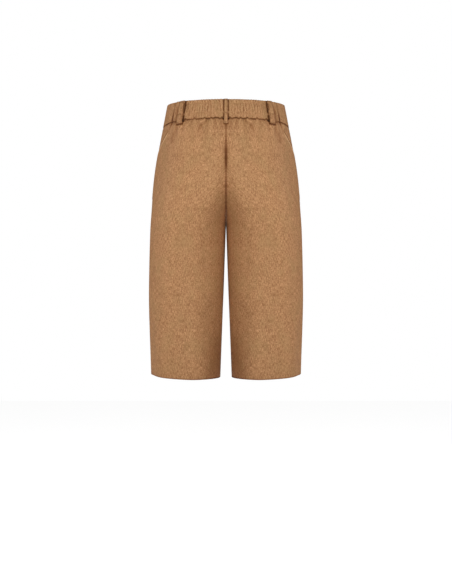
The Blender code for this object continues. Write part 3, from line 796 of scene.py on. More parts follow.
def mottled(name, scale, detail, stops, **constants):
    """A finish of one stuff whose colour wanders through it."""
    finish = Finish(name, **constants)
    place = finish.node("ShaderNodeTexCoord", output=3)
    noise = finish.node("ShaderNodeTexNoise", None, {"Vector": place, "Scale": scale, "Detail": detail})
    finish.feed("Base Color", finish.node("ShaderNodeValToRGB", {"stops": stops}, {0: noise}))
    return finish.material


def melange(name, shade=1.0):
    """The suiting. shade makes all of it a little lighter or darker."""
    finish = Finish(name, Specular_IOR_Level=0.14)
    brown, camel, pale, olive, highlight = (
        tuple(channel * shade for channel in colour) for colour in (BROWN, CAMEL, PALE, OLIVE, PAINTED_HIGHLIGHT)
    )
    place = finish.node("ShaderNodeUVMap", {"uv_map": "cloth"})
    mottle = MOTTLE_SHIFT
    for layer in LAYERS:
        lumps = finish.stretched(place, layer.across, layer.along)
        mottle = mottle + finish.noise(lumps, layer.detail, layer.rough) * layer.share
    yarns = finish.node(
        "ShaderNodeValToRGB",
        {"stops": ((DARK_AT, brown), (MIDDLE_AT, camel), (LIGHT_AT, pale))},
        {0: mottle},
    )
    patch = finish.noise(finish.stretched(place, PATCH_WIDE, PATCH_LONG))
    greened = finish.mixed((patch - OLIVE_FROM) * OLIVE_SHARE, yarns, (*olive, 1.0))
    # The painted shade darkens the colour through a ramp; below 0 the painted highlight is mixed in.
    tucked = finish.node("ShaderNodeAttribute", {"attribute_name": "tucked"}, output=2)
    tint = finish.node(
        "ShaderNodeValToRGB",
        {"stops": ((0.0, (1.0, 1.0, 1.0)), (0.5, PAINTED_SHADE_HALF), (1.0, PAINTED_SHADE_FULL))},
        {0: tucked},
    )
    darkened = finish.mixed(1.0, greened, tint, "MULTIPLY")
    finish.feed("Base Color", finish.mixed(tucked * -1.0, darkened, (*highlight, 1.0)))
    threads = finish.stretched(place, THREAD * 2 * pi, THREAD * 2 * pi)
    height = mottle * SLUB_RELIEF
    for direction in "XY":
        ribs = finish.node(
            "ShaderNodeTexWave",
            {"bands_direction": direction},
            {"Vector": threads, "Scale": 1.0, "Distortion": 1.2, "Detail": 1.0},
        )
        height = height + ribs * THREAD_RELIEF
    finish.feed("Normal", finish.node(
        "ShaderNodeBump", None, {"Strength": RELIEF_STRENGTH, "Distance": RELIEF, "Height": height}
    ))
    finish.feed("Roughness", DULLNESS + mottle * DULLNESS_CHANGE)
    return finish.material


suiting = melange("camel_suiting")

back_mesh = leg_panel(
    "back_left_cloth",
    lambda z: side_seam(z) + seam_clearance(z),
    lambda z: end_angle(z, BACK_VALLEY),
)
back_twin = mirrored(back_mesh, "back_right_cloth")
for mesh, node in ((back_mesh, "back_left"), (back_twin, "back_right")):
    piece = piece_of(mesh, suiting, "cloth", node)

# ---------------------------------------------------------------------------
# The two front legs: cut like the backs but flatter, and plain at the waist. The
# right one laps over the left as the fly, held by a curved row of stitches.

FLY_LAP = 0.008
FLY_END = -0.185
FLY_TAPER = 0.014
FLY_RAMP = 0.022
FLY_FLAT = 0.003


def fly_lift(x, z):
    """How far the right front is lifted where it laps over the left."""
    lift = (CLOTH + 2 * SEAM_GAP) * rise(x, -FLY_RAMP, -FLY_FLAT)
    return lift * rise(z, FLY_END - FLY_RAMP, FLY_END - FLY_FLAT)


def fly_lap(z):
    """How far the right front goes past the centre, as an angle."""
    return FLY_LAP * rise(z, FLY_END, FLY_END + FLY_TAPER) / oval(z, FRONT_VALLEY)[1]


front_edges = (
    lambda z: side_seam(z) - seam_clearance(z),
    lambda z: -end_angle(z, FRONT_VALLEY),
)
front_left = leg_panel("front_left_cloth", *front_edges)
front_left.flip_normals()
front_right = mirrored(leg_panel("front_right_as_left", *front_edges, fly_lap, fly_lift), "front_right_cloth")
front_right.flip_normals()

# Sewing thread, a shade darker than the cloth. Each stitch is a small capsule laid
# along a path by Geometry Nodes, or across it where a bar or a buttonhole is dense.
THREAD_RADIUS = 0.00016
STITCH_LENGTH, STITCH_PITCH = 0.0023, 0.0029
BAR_STITCH, BAR_PITCH = 0.0014, 0.00045
J_FROM_CENTRE = 0.030
J_ROUND = 0.026
J_TOP, J_FOOT, J_STEP = 0.002, 0.004, 0.0005
J_POINTS_DOWN, J_POINTS_ROUND = 60, 24
BAR_FROM_SEAM, BAR_TO_SEAM = 0.0025, 0.0085

thread = mottled(
    "sewing_thread",
    900.0,
    2.0,
    ((0.35, (0.230, 0.105, 0.042)), (0.65, (0.400, 0.205, 0.090))),
    Roughness=0.6,
    Specular_IOR_Level=0.2,
)


def stitch_tree():
    """Geometry Nodes that lay a stitch at every step along the edges of a mesh."""
    tree = bpy.data.node_groups.new("stitches", "GeometryNodeTree")
    for name, kind in (
        ("Geometry", "Geometry"),
        ("Pitch", "Float"),
        ("Length", "Float"),
        ("Radius", "Float"),
        ("Across", "Float"),
        ("Thread", "Material"),
    ):
        tree.interface.new_socket(name, in_out="INPUT", socket_type="NodeSocket" + kind)
    tree.interface.new_socket("Geometry", in_out="OUTPUT", socket_type="NodeSocketGeometry")

    def node(kind, settings=None, inputs=None):
        """A node with its settings, and then the values or links of its sockets."""
        made = tree.nodes.new(kind)
        for key, value in (settings or {}).items():
            setattr(made, key, value)
        for key, value in (inputs or {}).items():
            if isinstance(value, bpy.types.NodeSocket):
                tree.links.new(value, made.inputs[key])
            else:
                made.inputs[key].default_value = value
        return made.outputs

    given = node("NodeGroupInput")
    path = node("GeometryNodeMeshToCurve", None, {"Mesh": given["Geometry"]})["Curve"]
    steps = node(
        "GeometryNodeResampleCurve", {"mode": "LENGTH"}, {"Curve": path, "Length": given["Pitch"]}
    )["Curve"]
    along = node("GeometryNodeInputTangent")["Tangent"]
    facing = node(
        "GeometryNodeInputNamedAttribute", {"data_type": "FLOAT_VECTOR"}, {"Name": "facing"}
    )["Attribute"]
    across = node("ShaderNodeVectorMath", {"operation": "CROSS_PRODUCT"}, {0: along, 1: facing})[0]
    lie = node("ShaderNodeMix", {"data_type": "VECTOR"}, {0: given["Across"], 4: along, 5: across})[1]
    turn = node("FunctionNodeAlignRotationToVector", {"axis": "Z"}, {"Vector": lie})["Rotation"]
    uneven_length = node("FunctionNodeRandomValue", {"data_type": "FLOAT"}, {2: 0.44, 3: 0.54, "Seed": 11})[1]
    half = node("ShaderNodeMath", {"operation": "MULTIPLY"}, {0: given["Length"], 1: uneven_length})[0]
    size = node(
        "ShaderNodeCombineXYZ", None, {"X": given["Radius"], "Y": given["Radius"], "Z": half}
    )["Vector"]
    capsule = node("GeometryNodeMeshUVSphere", None, {"Segments": 6, "Rings": 5, "Radius": 1.0})["Mesh"]
    smooth = node("GeometryNodeSetShadeSmooth", None, {"Geometry": capsule})["Geometry"]
    laid = node(
        "GeometryNodeInstanceOnPoints",
        None,
        {"Points": steps, "Instance": smooth, "Rotation": turn, "Scale": size},
    )["Instances"]
    real = node("GeometryNodeRealizeInstances", None, {"Geometry": laid})["Geometry"]
    sewn_up = node(
        "GeometryNodeSetMaterial", None, {"Geometry": real, "Material": given["Thread"]}
    )["Geometry"]
    node("NodeGroupOutput", None, {"Geometry": sewn_up})
    return tree


stitches = stitch_tree()


def sewn(name, paths, pitch, length, across=0.0):
    """A mesh of stitches along paths, each given as points and the directions they face."""
    edges, first = [], 0
    for points, facing in paths:
        edges += [(i, i + 1) for i in range(first, first + len(points) - 1)]
        first += len(points)
    guide = bpy.data.meshes.new(name + "_guide")
    guide.from_pydata(np.concatenate([points for points, facing in paths]).tolist(), edges, [])
    directions = guide.attributes.new("facing", "FLOAT_VECTOR", "POINT")
    directions.data.foreach_set("vector", np.concatenate([facing for points, facing in paths]).ravel())
    holder = bpy.data.objects.new(name + "_guide", guide)
    bpy.context.scene.collection.objects.link(holder)
    modifier = holder.modifiers.new("stitches", "NODES")
    modifier.node_group = stitches
    inputs = {
        "Pitch": pitch,
        "Length": length,
        "Radius": THREAD_RADIUS,
        "Across": across,
        "Thread": thread,
    }
    for socket in stitches.interface.items_tree:
        if socket.name in inputs:
            modifier[socket.identifier] = inputs[socket.name]
    evaluated = holder.evaluated_get(bpy.context.evaluated_depsgraph_get())
    mesh = bpy.data.meshes.new_from_object(evaluated)
    mesh.name = name
    bpy.data.objects.remove(holder)
    return mesh


def on_front(x, z, side):
    """Points for stitches on a front leg at distances x from the centre line."""
    centre, half = oval(z, FRONT_VALLEY)
    angle = -np.arccos(np.clip((x - centre) / half, -1, 1))
    return on_leg(angle, z, side)


def on_leg(angle, z, side):
    """Points just above the cloth of a leg, with the directions they face."""
    normal = outward(skin, angle, z)
    points = skin(angle, z)
    lap = fly_lift(-points[:, 0], z) * (side < 0) * (angle < 0)
    points = points + (lap + THREAD_RADIUS)[:, None] * normal
    mirror = np.array([side, 1.0, 1.0])
    return points * mirror, normal * mirror


curve = np.linspace(0, pi / 2, J_POINTS_ROUND)
j_x = np.concatenate([
    np.full(J_POINTS_DOWN, J_FROM_CENTRE),
    J_FROM_CENTRE - J_ROUND * (1 - np.cos(curve)),
])
j_z = np.concatenate([
    np.linspace(BAND_SEAM - J_TOP, FLY_END + J_ROUND + J_FOOT + J_STEP, J_POINTS_DOWN),
    FLY_END + J_FOOT + J_ROUND * (1 - np.sin(curve)),
])
fly_stitches = sewn("fly_stitches", [on_front(j_x, j_z, -1)], STITCH_PITCH, STITCH_LENGTH)

from_seam = np.linspace(BAR_FROM_SEAM, BAR_TO_SEAM, 8)
for mesh, node, side in ((front_left, "front_left", 1), (front_right, "front_right", -1)):
    bars = []
    for height in (MOUTH_TOP, MOUTH_END):
        z = np.full(from_seam.shape, height)
        bars.append(on_leg(side_seam(z) - from_seam / outline("back", z), z, side))
    tacks = piece_of(sewn(node + "_tacks", bars, BAR_PITCH, BAR_STITCH, 1.0), thread, "cloth")
    sewing = [tacks]
    if side < 0:
        sewing.append(piece_of(fly_stitches, thread, "cloth"))
    piece = piece_of(mesh, suiting, "cloth", node)

# ---------------------------------------------------------------------------
# The pocket bags: thin pocketing behind the mouths in the side seams, lying on the
# inside of the fronts and caught in the waist seam.

POCKETING = 0.0008
BAG_FRONT = radians(-46)
BAG_BEHIND = radians(10)
BAG_END = -0.243
BAG_ROUND, BAG_ROUND_TURN, BAG_ROUND_POWER = 0.050, 0.45, 2.5
BAG_FOLLOWS_SEAM = 0.6
BAG_WIDE = 0.13
BAG_SPACING, BAG_BELOW_SEAM = 0.004, 0.001
BAG_COLUMNS = 40


def pocket_bag(name):
    """One layer of pocketing with a rounded lower front corner."""
    heights = np.arange(BAND_SEAM - BAG_BELOW_SEAM, BAG_END, -BAG_SPACING)
    low = np.clip((BAG_END + BAG_ROUND - heights) / BAG_ROUND, 0.0, 1.0)
    front = BAG_FRONT * (1 - BAG_ROUND_TURN * low**BAG_ROUND_POWER) + BAG_FOLLOWS_SEAM * side_seam(heights)
    angles = np.linspace(side_seam(heights) + BAG_BEHIND, front, BAG_COLUMNS, axis=1)
    z = np.repeat(heights[:, None], BAG_COLUMNS, 1)
    normals = outward(skin, angles, z)
    outer = skin(angles, z) - (CLOTH + 2 * SEAM_GAP) * normals
    inner = outer - POCKETING * normals
    along = np.linspace(0, BAG_WIDE, BAG_COLUMNS)[None, :].repeat(len(heights), 0)
    return shell(name, outer, inner, np.stack([along, z, 0 * z], -1))


pocketing = melange("pocketing_cloth", shade=0.8)
bag = pocket_bag("pocket_left_bag")
bag.flip_normals()
bag_twin = mirrored(bag, "pocket_right_bag")
for mesh, node in ((bag, "pocket_left"), (bag_twin, "pocket_right")):
    piece = piece_of(mesh, pocketing, "pocketing", node)

# ---------------------------------------------------------------------------
# The back waistband: folded suiting round a wide elastic, gathered to about three
# quarters of its length and stitched through in two rows.

BAND_CLOTH = 0.0030
BAND_PROUD = 0.0004
BAND_GATHERS = 42
GATHER_DEPTH = 0.0016
STITCH_ROWS = (0.013, 0.036)
STITCHED_SHARE = 0.30
STITCH_ROW_WIDTH = 0.0022
SHARE_BELOW_ROWS = 0.45
COLUMNS_A_GATHER = 12
BAND_ROW_SPACING = 0.0010
TOP_FOLD_ROUNDING = 6
RIB_SLANT = 60.0
ROW_ENDS, ROW_POINTS = 0.01, 900
GATHERED_LENGTH = 1.3

# The gathers' spacing, waver, sizes and groups, and how sharp they are between.
GATHER_SPACING = Wander(0.9 / (2 * pi), 23, 0, 0.0)
GATHER_WAVER = Wander(0.12, 95, 210, 0.0)
GATHER_SIZES = Wander(0.34, 31, 0, 0.4)
GATHER_GROUPS = Wander(1.0, 13, 70, 0.0)
GATHER_SHARPNESS = 0.7
GATHERS_GROW_FROM, GATHERS_GROWN_PAST = 0.008, 0.002
NO_GATHER_AT_ENDS = 0.02

# Painted shade on the band at the waist seam, the side seams, its ends and in its gathers' valleys, and a
# painted highlight on their crests.
BAND_SEAM_SHADE = Shade(1.0, 0.0014)
BAND_JOINT_SHADE = Shade(0.65, 0.0024)
BAND_JOINT_LEAST, BAND_JOINT_FADES = 0.25, (-0.02, 0.01)
BAND_END_SHADE = Shade(0.5, 0.0010)
WAIST_RADIUS = 0.13
VALLEY_SHADE, VALLEY_SHARPNESS = 0.80, 1.5
VALLEY_BREAKS = (Wander(0.45, 58, 640, 0.0), Wander(1.0, 31, -410, 2.0))
CREST_HIGHLIGHT = 0.13


def outward_round(points):
    """Horizontal directions square to the waist's oval."""
    away = points / np.array([outline("half_width", 0.0), outline("back", 0.0), 1.0]) ** 2
    away[..., 2] = 0.0
    return away / np.linalg.norm(away, axis=-1, keepdims=True)


def band_skin(angle, z):
    """The waistband's outer face without gathers, all the way round."""
    turned = np.where(np.cos(angle) < 0, pi - angle, angle)
    turned = np.where(turned > pi, turned - 2 * pi, turned)
    face = bare_skin(turned, z)
    face[..., 2] += seam_wander(turned, z)
    face[..., 0] *= np.where(np.cos(angle) < 0, -1, 1)
    return face + BAND_PROUD * outward_round(face)


def gathers(angle, z):
    """The waves of the gathered cloth from 0 to 1, and how high they stand."""
    across = (angle - SIDE_SEAM_AT_WAIST) / (pi - 2 * SIDE_SEAM_AT_WAIST)
    twist = RIB_SLANT * np.clip(z - BAND_SEAM - STITCH_ROWS[1], 0.0, None)
    waver = wander(GATHER_WAVER, across, z) + wander(GATHER_SPACING, across) + twist
    wave = np.abs(np.sin(pi * (BAND_GATHERS * across + waver))) ** GATHER_SHARPNESS
    size = 1 - GATHER_SIZES.size + wander(GATHER_SIZES, across) * wander(GATHER_GROUPS, across, z)
    grown = rise(z - BAND_SEAM, GATHERS_GROW_FROM, STITCH_ROWS[0] + GATHERS_GROWN_PAST)
    held = SHARE_BELOW_ROWS + (1 - SHARE_BELOW_ROWS) * grown
    for row in STITCH_ROWS:
        held = held * (1 - (1 - STITCHED_SHARE) * near(z - BAND_SEAM - row, STITCH_ROW_WIDTH))
    return wave, size * held * rise(np.minimum(across, 1 - across), 0, NO_GATHER_AT_ENDS)


def band_painted_shade(angle, z, gathered):
    """The painted shade at each point of the band, and a painted highlight on its gathers' crests."""
    from_side = np.abs(np.where(np.cos(angle) < 0, pi - angle, angle) - SIDE_SEAM_AT_WAIST)
    from_side = from_side * outline("back", 0.0)
    joint = BAND_JOINT_LEAST + BAND_JOINT_SHADE.strength * (1 - rise(z, *BAND_JOINT_FADES))
    from_end = np.abs(angle - angle[..., -1:]) * outline("half_width", 0.0)
    painted = np.maximum.reduce([
        shaded(BAND_SEAM_SHADE, z - BAND_SEAM) * uneven(angle * WAIST_RADIUS, 4.0, WAIST_LEAST),
        joint * near(from_side, BAND_JOINT_SHADE.reach),
        shaded(BAND_END_SHADE, from_end),
        loop_shade(angle, z),
    ])
    if gathered:
        wave, size = gathers(angle, z)
        first, second = VALLEY_BREAKS
        broken = 1 - first.size + wander(first, angle, z) * wander(second, angle, z)
        painted = np.maximum(painted, VALLEY_SHADE * size * broken * (1 - wave) ** VALLEY_SHARPNESS)
        # Painted highlight on the gathers' crests.
        painted = painted - CREST_HIGHLIGHT * wave * size * np.clip(1 - 2 * painted, 0.0, 1.0)
    return painted


def band_outer(angle, z, gathered, lift_at):
    """The outer face of a stretch of waistband, and the directions away from it."""
    face = band_skin(angle, z)
    away = outward_round(face)
    wave, size = gathers(angle, z)
    bumps = GATHER_DEPTH * wave * size if gathered else np.zeros(z.shape)
    bumps = bumps - SEAM_ROLL * near(z - BAND_SEAM, SEAM_ROLL_REACH)
    return face + (lift_at(face) + bumps)[..., None] * away, away


def band_mesh(name, angle, gathered, lift_at):
    """A stretch of waistband with a folded top edge."""
    top = BAND_TOP - BAND_CLOTH / 2
    count = round((top - BAND_SEAM) / BAND_ROW_SPACING) + 1
    heights = np.linspace(top, BAND_SEAM + SEAM_GAP / 2, count)
    angles = np.repeat(angle[None, :], len(heights), 0)
    z = np.repeat(heights[:, None], len(angle), 1)
    face = band_skin(angles, z)
    outer, away = band_outer(angles, z, gathered, lift_at)
    inner = face + (lift_at(face) - BAND_CLOTH)[..., None] * away
    steps = np.linalg.norm(np.diff(face[-1], axis=0), axis=1)
    along = np.concatenate([[0.0], np.cumsum(steps)])
    if gathered:
        along = along * GATHERED_LENGTH
    places = np.stack([np.repeat(along[None, :], len(heights), 0), z, band_painted_shade(angles, z, gathered)], -1)
    return shell(name, outer, inner, places, top_rounding=TOP_FOLD_ROUNDING)


def no_lift(face):
    """The band lies on the body."""
    return np.zeros(face.shape[:-1])


clear = SEAM_GAP / 2 / outline("back", 0.0)
gathered_angles = np.linspace(
    SIDE_SEAM_AT_WAIST + clear,
    pi - SIDE_SEAM_AT_WAIST - clear,
    BAND_GATHERS * COLUMNS_A_GATHER + 1,
)
band_back = band_mesh("waistband_back_cloth", gathered_angles, True, no_lift)
piece = piece_of(band_back, suiting, "cloth", "waistband_back")
row_paths = []
row_angles = np.linspace(gathered_angles[0] + ROW_ENDS, gathered_angles[-1] - ROW_ENDS, ROW_POINTS)
for row in STITCH_ROWS:
    points, away = band_outer(row_angles, np.full(row_angles.shape, BAND_SEAM + row), True, no_lift)
    row_paths.append((points + THREAD_RADIUS * away, away))
rows = piece_of(sewn("waistband_stitches", row_paths, STITCH_PITCH, STITCH_LENGTH), thread, "cloth")

# ---------------------------------------------------------------------------
# The front waistband halves: plain interfaced suiting, folded along the top. The
# right one laps over the left and buttons.

BAND_LAP = 0.028
FRONT_BAND_COLUMNS = 150


def lap_lift(face):
    """The lapped half climbs over the other."""
    return (BAND_CLOTH + 2 * SEAM_GAP) * rise(-face[..., 0], -FLY_RAMP, -FLY_FLAT)


left_end = -pi / 2 + SEAM_GAP / outline("half_width", 0.0)
right_end = -pi / 2 - BAND_LAP / outline("half_width", 0.0)
band_left = band_mesh(
    "waistband_front_left_cloth",
    np.linspace(SIDE_SEAM_AT_WAIST - clear, left_end, FRONT_BAND_COLUMNS),
    False,
    no_lift,
)
band_left.flip_normals()
band_right = band_mesh(
    "waistband_front_right_as_left",
    np.linspace(SIDE_SEAM_AT_WAIST - clear, right_end, FRONT_BAND_COLUMNS),
    False,
    lap_lift,
)
band_right = mirrored(band_right, "waistband_front_right_cloth")
band_right.flip_normals()
for mesh, node, cut_length in (
    (band_left, "waistband_front_left", 0.276),
    (band_right, "waistband_front_right", 0.308),
):
    piece = piece_of(mesh, suiting, "cloth", node)

# ---------------------------------------------------------------------------
# The belt loops: folded strips sewn into the top edge and tacked below the seam.
# They arch off the band above and below the tack in their middle.

LOOP_CLOTH = 0.0016
LOOP_REST = 0.0004
LoopStep = namedtuple("LoopStep", "share stand_off")
LOOP_ARCH = (
    LoopStep(0.00, 0.0004),
    LoopStep(0.04, 0.0016),
    LoopStep(0.16, 0.0027),
    LoopStep(0.32, 0.0029),
    LoopStep(0.46, 0.0016),
    LoopStep(0.56, 0.0003),
    LoopStep(0.62, 0.0003),
    LoopStep(0.72, 0.0013),
    LoopStep(0.84, 0.0015),
    LoopStep(0.95, 0.0006),
    LoopStep(1.00, 0.0000),
)
LOOP_ROWS = 60
LOOP_COLUMNS = 14
LOOP_EDGE_ROUND = 0.0005
LOOP_BAR_ROWS = (3, 35, 56)
LOOP_LENGTH = 0.055
LOOP_ANGLE_STEP = 1e-3
LOOP_AT_SEAM = 0.004

# Painted shade on a loop's edges, its tack and its foot, by shares of its width and length.
EDGE_POWER, EDGE_LOST, EDGE_FADES = 6, 0.5, (0.15, 0.45)
TACK_SHADE, TACK_AT = Shade(0.15, 0.03), 0.60
FOOT_SHADE, FOOT_FROM = 0.6, 0.975


def loop_face(loop, share_across, share_down):
    """Points on the inner face of a loop, and the directions away from the band."""
    beside = band_skin(loop.angle + np.array([-LOOP_ANGLE_STEP, LOOP_ANGLE_STEP]), np.zeros(2))
    reach = np.linalg.norm(beside[1] - beside[0]) / (2 * LOOP_ANGLE_STEP)
    angle = loop.angle + share_across * loop.width / 2 / reach
    z = BAND_TOP + (BAND_SEAM - loop.below_seam - BAND_TOP) * share_down
    on_band = band_skin(angle, z)
    away = outward_round(on_band)
    folded = np.where(angle > pi / 2, pi - angle, angle)
    below = skin(folded, np.minimum(z, BAND_SEAM - SEAM_GAP))
    below[..., 0] *= np.where(angle > pi / 2, -1, 1)
    puff = np.clip(np.einsum("...i,...i->...", below - on_band, away), 0, None)
    blend = rise(z, BAND_SEAM - LOOP_AT_SEAM, BAND_SEAM + LOOP_AT_SEAM)
    over_gathers = GATHER_DEPTH if loop.angle > 0 else 0.0
    rest = (over_gathers * blend + puff * (1 - blend)).max(axis=1, keepdims=True)
    arch = np.interp(share_down, [s.share for s in LOOP_ARCH], [s.stand_off for s in LOOP_ARCH])
    stand_off = rest + LOOP_REST + arch * (1 + loop.lean * share_across)
    return on_band + stand_off[..., None] * away, away


def loop_grid(loop):
    """Outer and inner points of a belt loop with softly rounded edges, and their places."""
    across = np.sin(np.linspace(-pi / 2, pi / 2, LOOP_COLUMNS))
    down = np.linspace(0, 1, LOOP_ROWS)
    share_across = np.repeat(across[None, :], LOOP_ROWS, 0)
    share_down = np.repeat(down[:, None], LOOP_COLUMNS, 1)
    inner, away = loop_face(loop, share_across, share_down)
    rounding = LOOP_EDGE_ROUND * share_across**8
    outer = inner + (LOOP_CLOTH - rounding)[..., None] * away
    return outer, inner, away, share_across, share_down


def loop_mesh(loop):
    """A belt loop as a closed mesh."""
    outer, inner, away, share_across, share_down = loop_grid(loop)
    # Painted shade on the loop's edges, at its tack and on its foot.
    outer_edge = loop.shade_out * (1 - EDGE_LOST * rise(share_down, *EDGE_FADES))
    painted = np.where(share_across < 0, outer_edge, loop.edge_in) * share_across**EDGE_POWER
    painted = np.maximum(painted, shaded(TACK_SHADE, share_down - TACK_AT))
    painted = painted + FOOT_SHADE * rise(share_down, FOOT_FROM, 1.0)
    places = np.stack([share_across * loop.width / 2, share_down * LOOP_LENGTH, painted], -1)
    name = loop.name + "_cloth"
    mesh = shell(name if loop.side > 0 else loop.name + "_as_left", outer, inner, places, 3, 3)
    return mesh if loop.side > 0 else mirrored(mesh, name)


def loop_stitches(loop):
    """Two rows of stitches down a loop, and bars across its ends."""
    outer, inner, away, share_across, share_down = loop_grid(loop)
    mirror = np.array([loop.side, 1.0, 1.0])
    points, facing = (outer + THREAD_RADIUS * away) * mirror, away * mirror
    rows = [(points[2:-2, column], facing[2:-2, column]) for column in (3, LOOP_COLUMNS - 4)]
    bars = [(points[row, 2:-2], facing[row, 2:-2]) for row in LOOP_BAR_ROWS]
    return (
        sewn(loop.name + "_stitches", rows, STITCH_PITCH, STITCH_LENGTH),
        sewn(loop.name + "_bars", bars, BAR_PITCH, BAR_STITCH, 1.0),
    )


for loop in LOOPS:
    sewing = [piece_of(mesh, thread, "cloth") for mesh in loop_stitches(loop)]
    piece = piece_of(loop_mesh(loop), suiting, "cloth", loop.name)

# ---------------------------------------------------------------------------
# The waistband's button: brown horn with a rim and four holes, sewn on with thread.

horn = mottled(
    "horn",
    260.0,
    4.0,
    ((0.35, (0.030, 0.012, 0.006)), (0.55, (0.105, 0.045, 0.018)), (0.7, (0.20, 0.10, 0.045))),
    Roughness=0.32,
    Coat_Weight=0.2,
)

BUTTON_FROM_CENTRE = 0.014
BUTTON_SIDES = 64
BUTTON_SHARP_EDGE = radians(50)
ButtonRing = namedtuple("ButtonRing", "radius height")
BUTTON_RINGS = (
    ButtonRing(0.0067, 0.0000),
    ButtonRing(0.0073, 0.0003),
    ButtonRing(0.0075, 0.0009),
    ButtonRing(0.0075, 0.0019),
    ButtonRing(0.0073, 0.0025),
    ButtonRing(0.0067, 0.0028),
    ButtonRing(0.0060, 0.0028),
    ButtonRing(0.0055, 0.0025),
    ButtonRing(0.0050, 0.0021),
    ButtonRing(0.0040, 0.0020),
)
HOLE_RADIUS, HOLE_FROM_MIDDLE, HOLE_HEIGHT, HOLE_SIDES = 0.0008, 0.00125, 0.00203, 16
STRAND_PITCH, STRANDS_WIDE = 0.00025, 0.0007
BUTTONHOLE_FROM, BUTTONHOLE_TO = -0.0035, 0.0165
BUTTONHOLE_HALF = 0.0011
SLIT_POINTS, SLIT_END_POINTS = 40, 8

button_angle = np.array([-pi / 2 + BUTTON_FROM_CENTRE / outline("half_width", 0.0)])
button_place = band_skin(button_angle, np.zeros(1))
button_place = (button_place + (BAND_CLOTH + 3 * SEAM_GAP) * outward_round(button_place))[0]
button_facing = Vector(outward(band_skin, button_angle, np.zeros(1))[0])
button_turn = np.array(button_facing.to_track_quat("Z", "Y").to_matrix())


def on_button(points):
    """Points of the flat button in their place on the waistband."""
    return np.asarray(points) @ button_turn.T + button_place


def discs(name, rings, middles, sides):
    """A mesh of round bodies or flat discs about each middle, from rings of points."""
    turns = np.linspace(0, 2 * pi, sides, endpoint=False)
    points, faces = [], []
    for middle in middles:
        first = len(points)
        for ring in rings:
            points += [
                (middle[0] + ring.radius * cos(turn), middle[1] + ring.radius * sin(turn), ring.height)
                for turn in turns
            ]
        for level in range(len(rings) - 1):
            low = first + level * sides
            faces += [
                (low + i, low + (i + 1) % sides, low + (i + 1) % sides + sides, low + i + sides)
                for i in range(sides)
            ]
        last = first + (len(rings) - 1) * sides
        faces.append(tuple(range(last, last + sides)))
        if len(rings) > 1:
            faces.append(tuple(range(first, first + sides))[::-1])
    mesh = bpy.data.meshes.new(name)
    mesh.from_pydata(on_button(points).tolist(), [], faces)
    mesh.shade_smooth()
    mesh.set_sharp_from_angle(angle=BUTTON_SHARP_EDGE)
    return mesh


piece_of(discs("button_horn", BUTTON_RINGS, ((0.0, 0.0),), BUTTON_SIDES), horn, "button", "button")

# The four holes are flat dark discs of painted shadow laid on the button's closed middle.
shadow = mottled(
    "hole_shadow", 800.0, 2.0, ((0.3, (0.004, 0.002, 0.001)), (0.7, (0.012, 0.006, 0.004))), Roughness=0.9
)
both_ways = (-HOLE_FROM_MIDDLE, HOLE_FROM_MIDDLE)
corners = [(x, y) for x in both_ways for y in both_ways]
holes = discs("button_holes", (ButtonRing(HOLE_RADIUS, HOLE_HEIGHT),), corners, HOLE_SIDES)
piece_of(holes, shadow, "button")

strands = []
for middle in both_ways:
    ends = [
        (middle + aside, 0.0, HOLE_HEIGHT + THREAD_RADIUS)
        for aside in (-STRANDS_WIDE / 2, STRANDS_WIDE / 2)
    ]
    strands.append((on_button(ends), np.array([button_facing, button_facing])))
strand_mesh = sewn("button_thread", strands, STRAND_PITCH, 2 * HOLE_FROM_MIDDLE + HOLE_RADIUS, 1.0)
piece_of(strand_mesh, thread, "button")

# The buttonhole's dense stitches, on both sides of its slit and round its inner end.
hole_x = np.linspace(BUTTONHOLE_FROM, BUTTONHOLE_TO, SLIT_POINTS)
end_z = np.linspace(-BUTTONHOLE_HALF, BUTTONHOLE_HALF, SLIT_END_POINTS)
edges = []
for x, z in (
    (hole_x, np.full(SLIT_POINTS, BUTTONHOLE_HALF)),
    (hole_x, np.full(SLIT_POINTS, -BUTTONHOLE_HALF)),
    (np.full(SLIT_END_POINTS, BUTTONHOLE_FROM), end_z),
):
    angle = -pi / 2 - x / outline("half_width", 0.0)
    points, away = band_outer(angle, z, False, lap_lift)
    mirror = np.array([-1.0, 1.0, 1.0])
    edges.append(((points + THREAD_RADIUS * away) * mirror, away * mirror))
piece_of(sewn("buttonhole_stitches", edges, BAR_PITCH, BAR_STITCH, 1.0), thread, "cloth")

# ---------------------------------------------------------------------------
# Floor, light and camera.

FLOOR_DROP = 0.45
FLOOR_MIDDLE = (0.0, -1.45)
FLOOR_SIZE = (2.6, 3.1)
CAMERA_DISTANCE = 3.0
CAMERA_HEIGHT = -0.2288
AIM_HEIGHT = -0.3850
LENS = 84.06

bpy.ops.mesh.primitive_plane_add(size=1.0, location=(*FLOOR_MIDDLE, HEM - FLOOR_DROP))
floor = bpy.context.object
floor.name = "floor"
floor.scale = (*FLOOR_SIZE, 1.0)
paper = Finish("pale_paper", Roughness=0.9, Emission_Strength=0.92)
paper.shader.inputs["Base Color"].default_value = (0.92, 0.92, 0.92, 1.0)
paper.shader.inputs["Emission Color"].default_value = (1.0, 1.0, 1.0, 1.0)
floor.data.materials.append(paper.material)

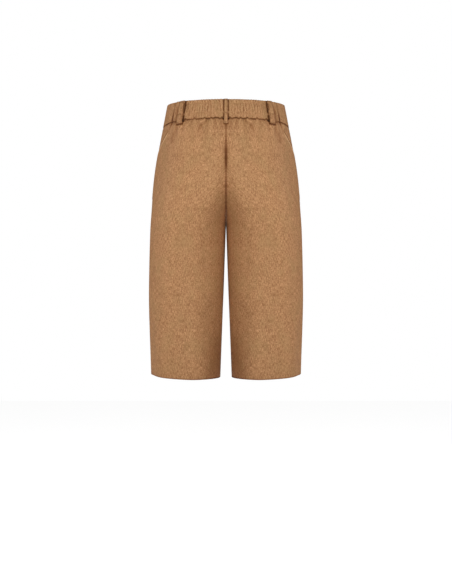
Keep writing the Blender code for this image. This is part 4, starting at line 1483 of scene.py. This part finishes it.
# The walls of the studio look white and throw back only a little light.
WALL_LIGHT = 0.03
WALL_WHITE = 1.0
world = bpy.data.worlds.new("studio")
bpy.context.scene.world = world
world.use_nodes = True
walls = world.node_tree
seen = walls.nodes.new("ShaderNodeLightPath")
strength = walls.nodes.new("ShaderNodeMapRange")
strength.inputs["To Min"].default_value = WALL_LIGHT
strength.inputs["To Max"].default_value = WALL_WHITE
walls.links.new(seen.outputs["Is Camera Ray"], strength.inputs["Value"])
walls.links.new(strength.outputs["Result"], walls.nodes["Background"].inputs["Strength"])
walls.nodes["Background"].inputs["Color"].default_value = (1.0, 1.0, 1.0, 1.0)

# Azimuths run from the camera's side, and each softbox faces its own aim height.
Softbox = namedtuple("Softbox", "name azimuth elevation distance aim size power colour")
COOL, WARM = (0.945, 1.0, 0.985), (1.0, 0.985, 0.980)
SOFTBOXES = (
    Softbox("front", 0, 15, 1.3, -0.12, 0.6, 8.2, COOL),
    Softbox("low_left", 30, 0, 1.3, -0.45, 0.6, 4.85, WARM),
    Softbox("low_right", -30, 0, 1.3, -0.45, 0.6, 4.85, WARM),
    Softbox("side_left", 90, 12, 1.3, -0.16, 0.6, 6.2, WARM),
    Softbox("side_right", -90, 12, 1.3, -0.16, 0.6, 6.2, WARM),
    Softbox("behind", 180, 15, 1.6, -0.28, 0.8, 13.0, WARM),
)
for softbox in SOFTBOXES:
    lamp = bpy.data.lights.new(softbox.name, "AREA")
    lamp.shape = "SQUARE"
    lamp.size = softbox.size
    lamp.energy = softbox.power
    lamp.color = softbox.colour
    holder = bpy.data.objects.new(softbox.name, lamp)
    bpy.context.scene.collection.objects.link(holder)
    turn, lift = radians(softbox.azimuth), radians(softbox.elevation)
    away = Vector((sin(turn) * cos(lift), cos(turn) * cos(lift), sin(lift)))
    holder.location = away * softbox.distance + Vector((0, 0, softbox.aim))
    holder.rotation_euler = away.to_track_quat("Z", "Y").to_euler()

camera_data = bpy.data.cameras.new("camera")
camera_data.lens = LENS
camera = bpy.data.objects.new("camera", camera_data)
bpy.context.scene.collection.objects.link(camera)
camera.location = (0, CAMERA_DISTANCE, CAMERA_HEIGHT)
view_line = Vector((0, 0, AIM_HEIGHT)) - camera.location
camera.rotation_euler = view_line.to_track_quat("-Z", "Y").to_euler()
bpy.context.scene.camera = camera
bpy.context.scene.view_settings.view_transform = "Standard"
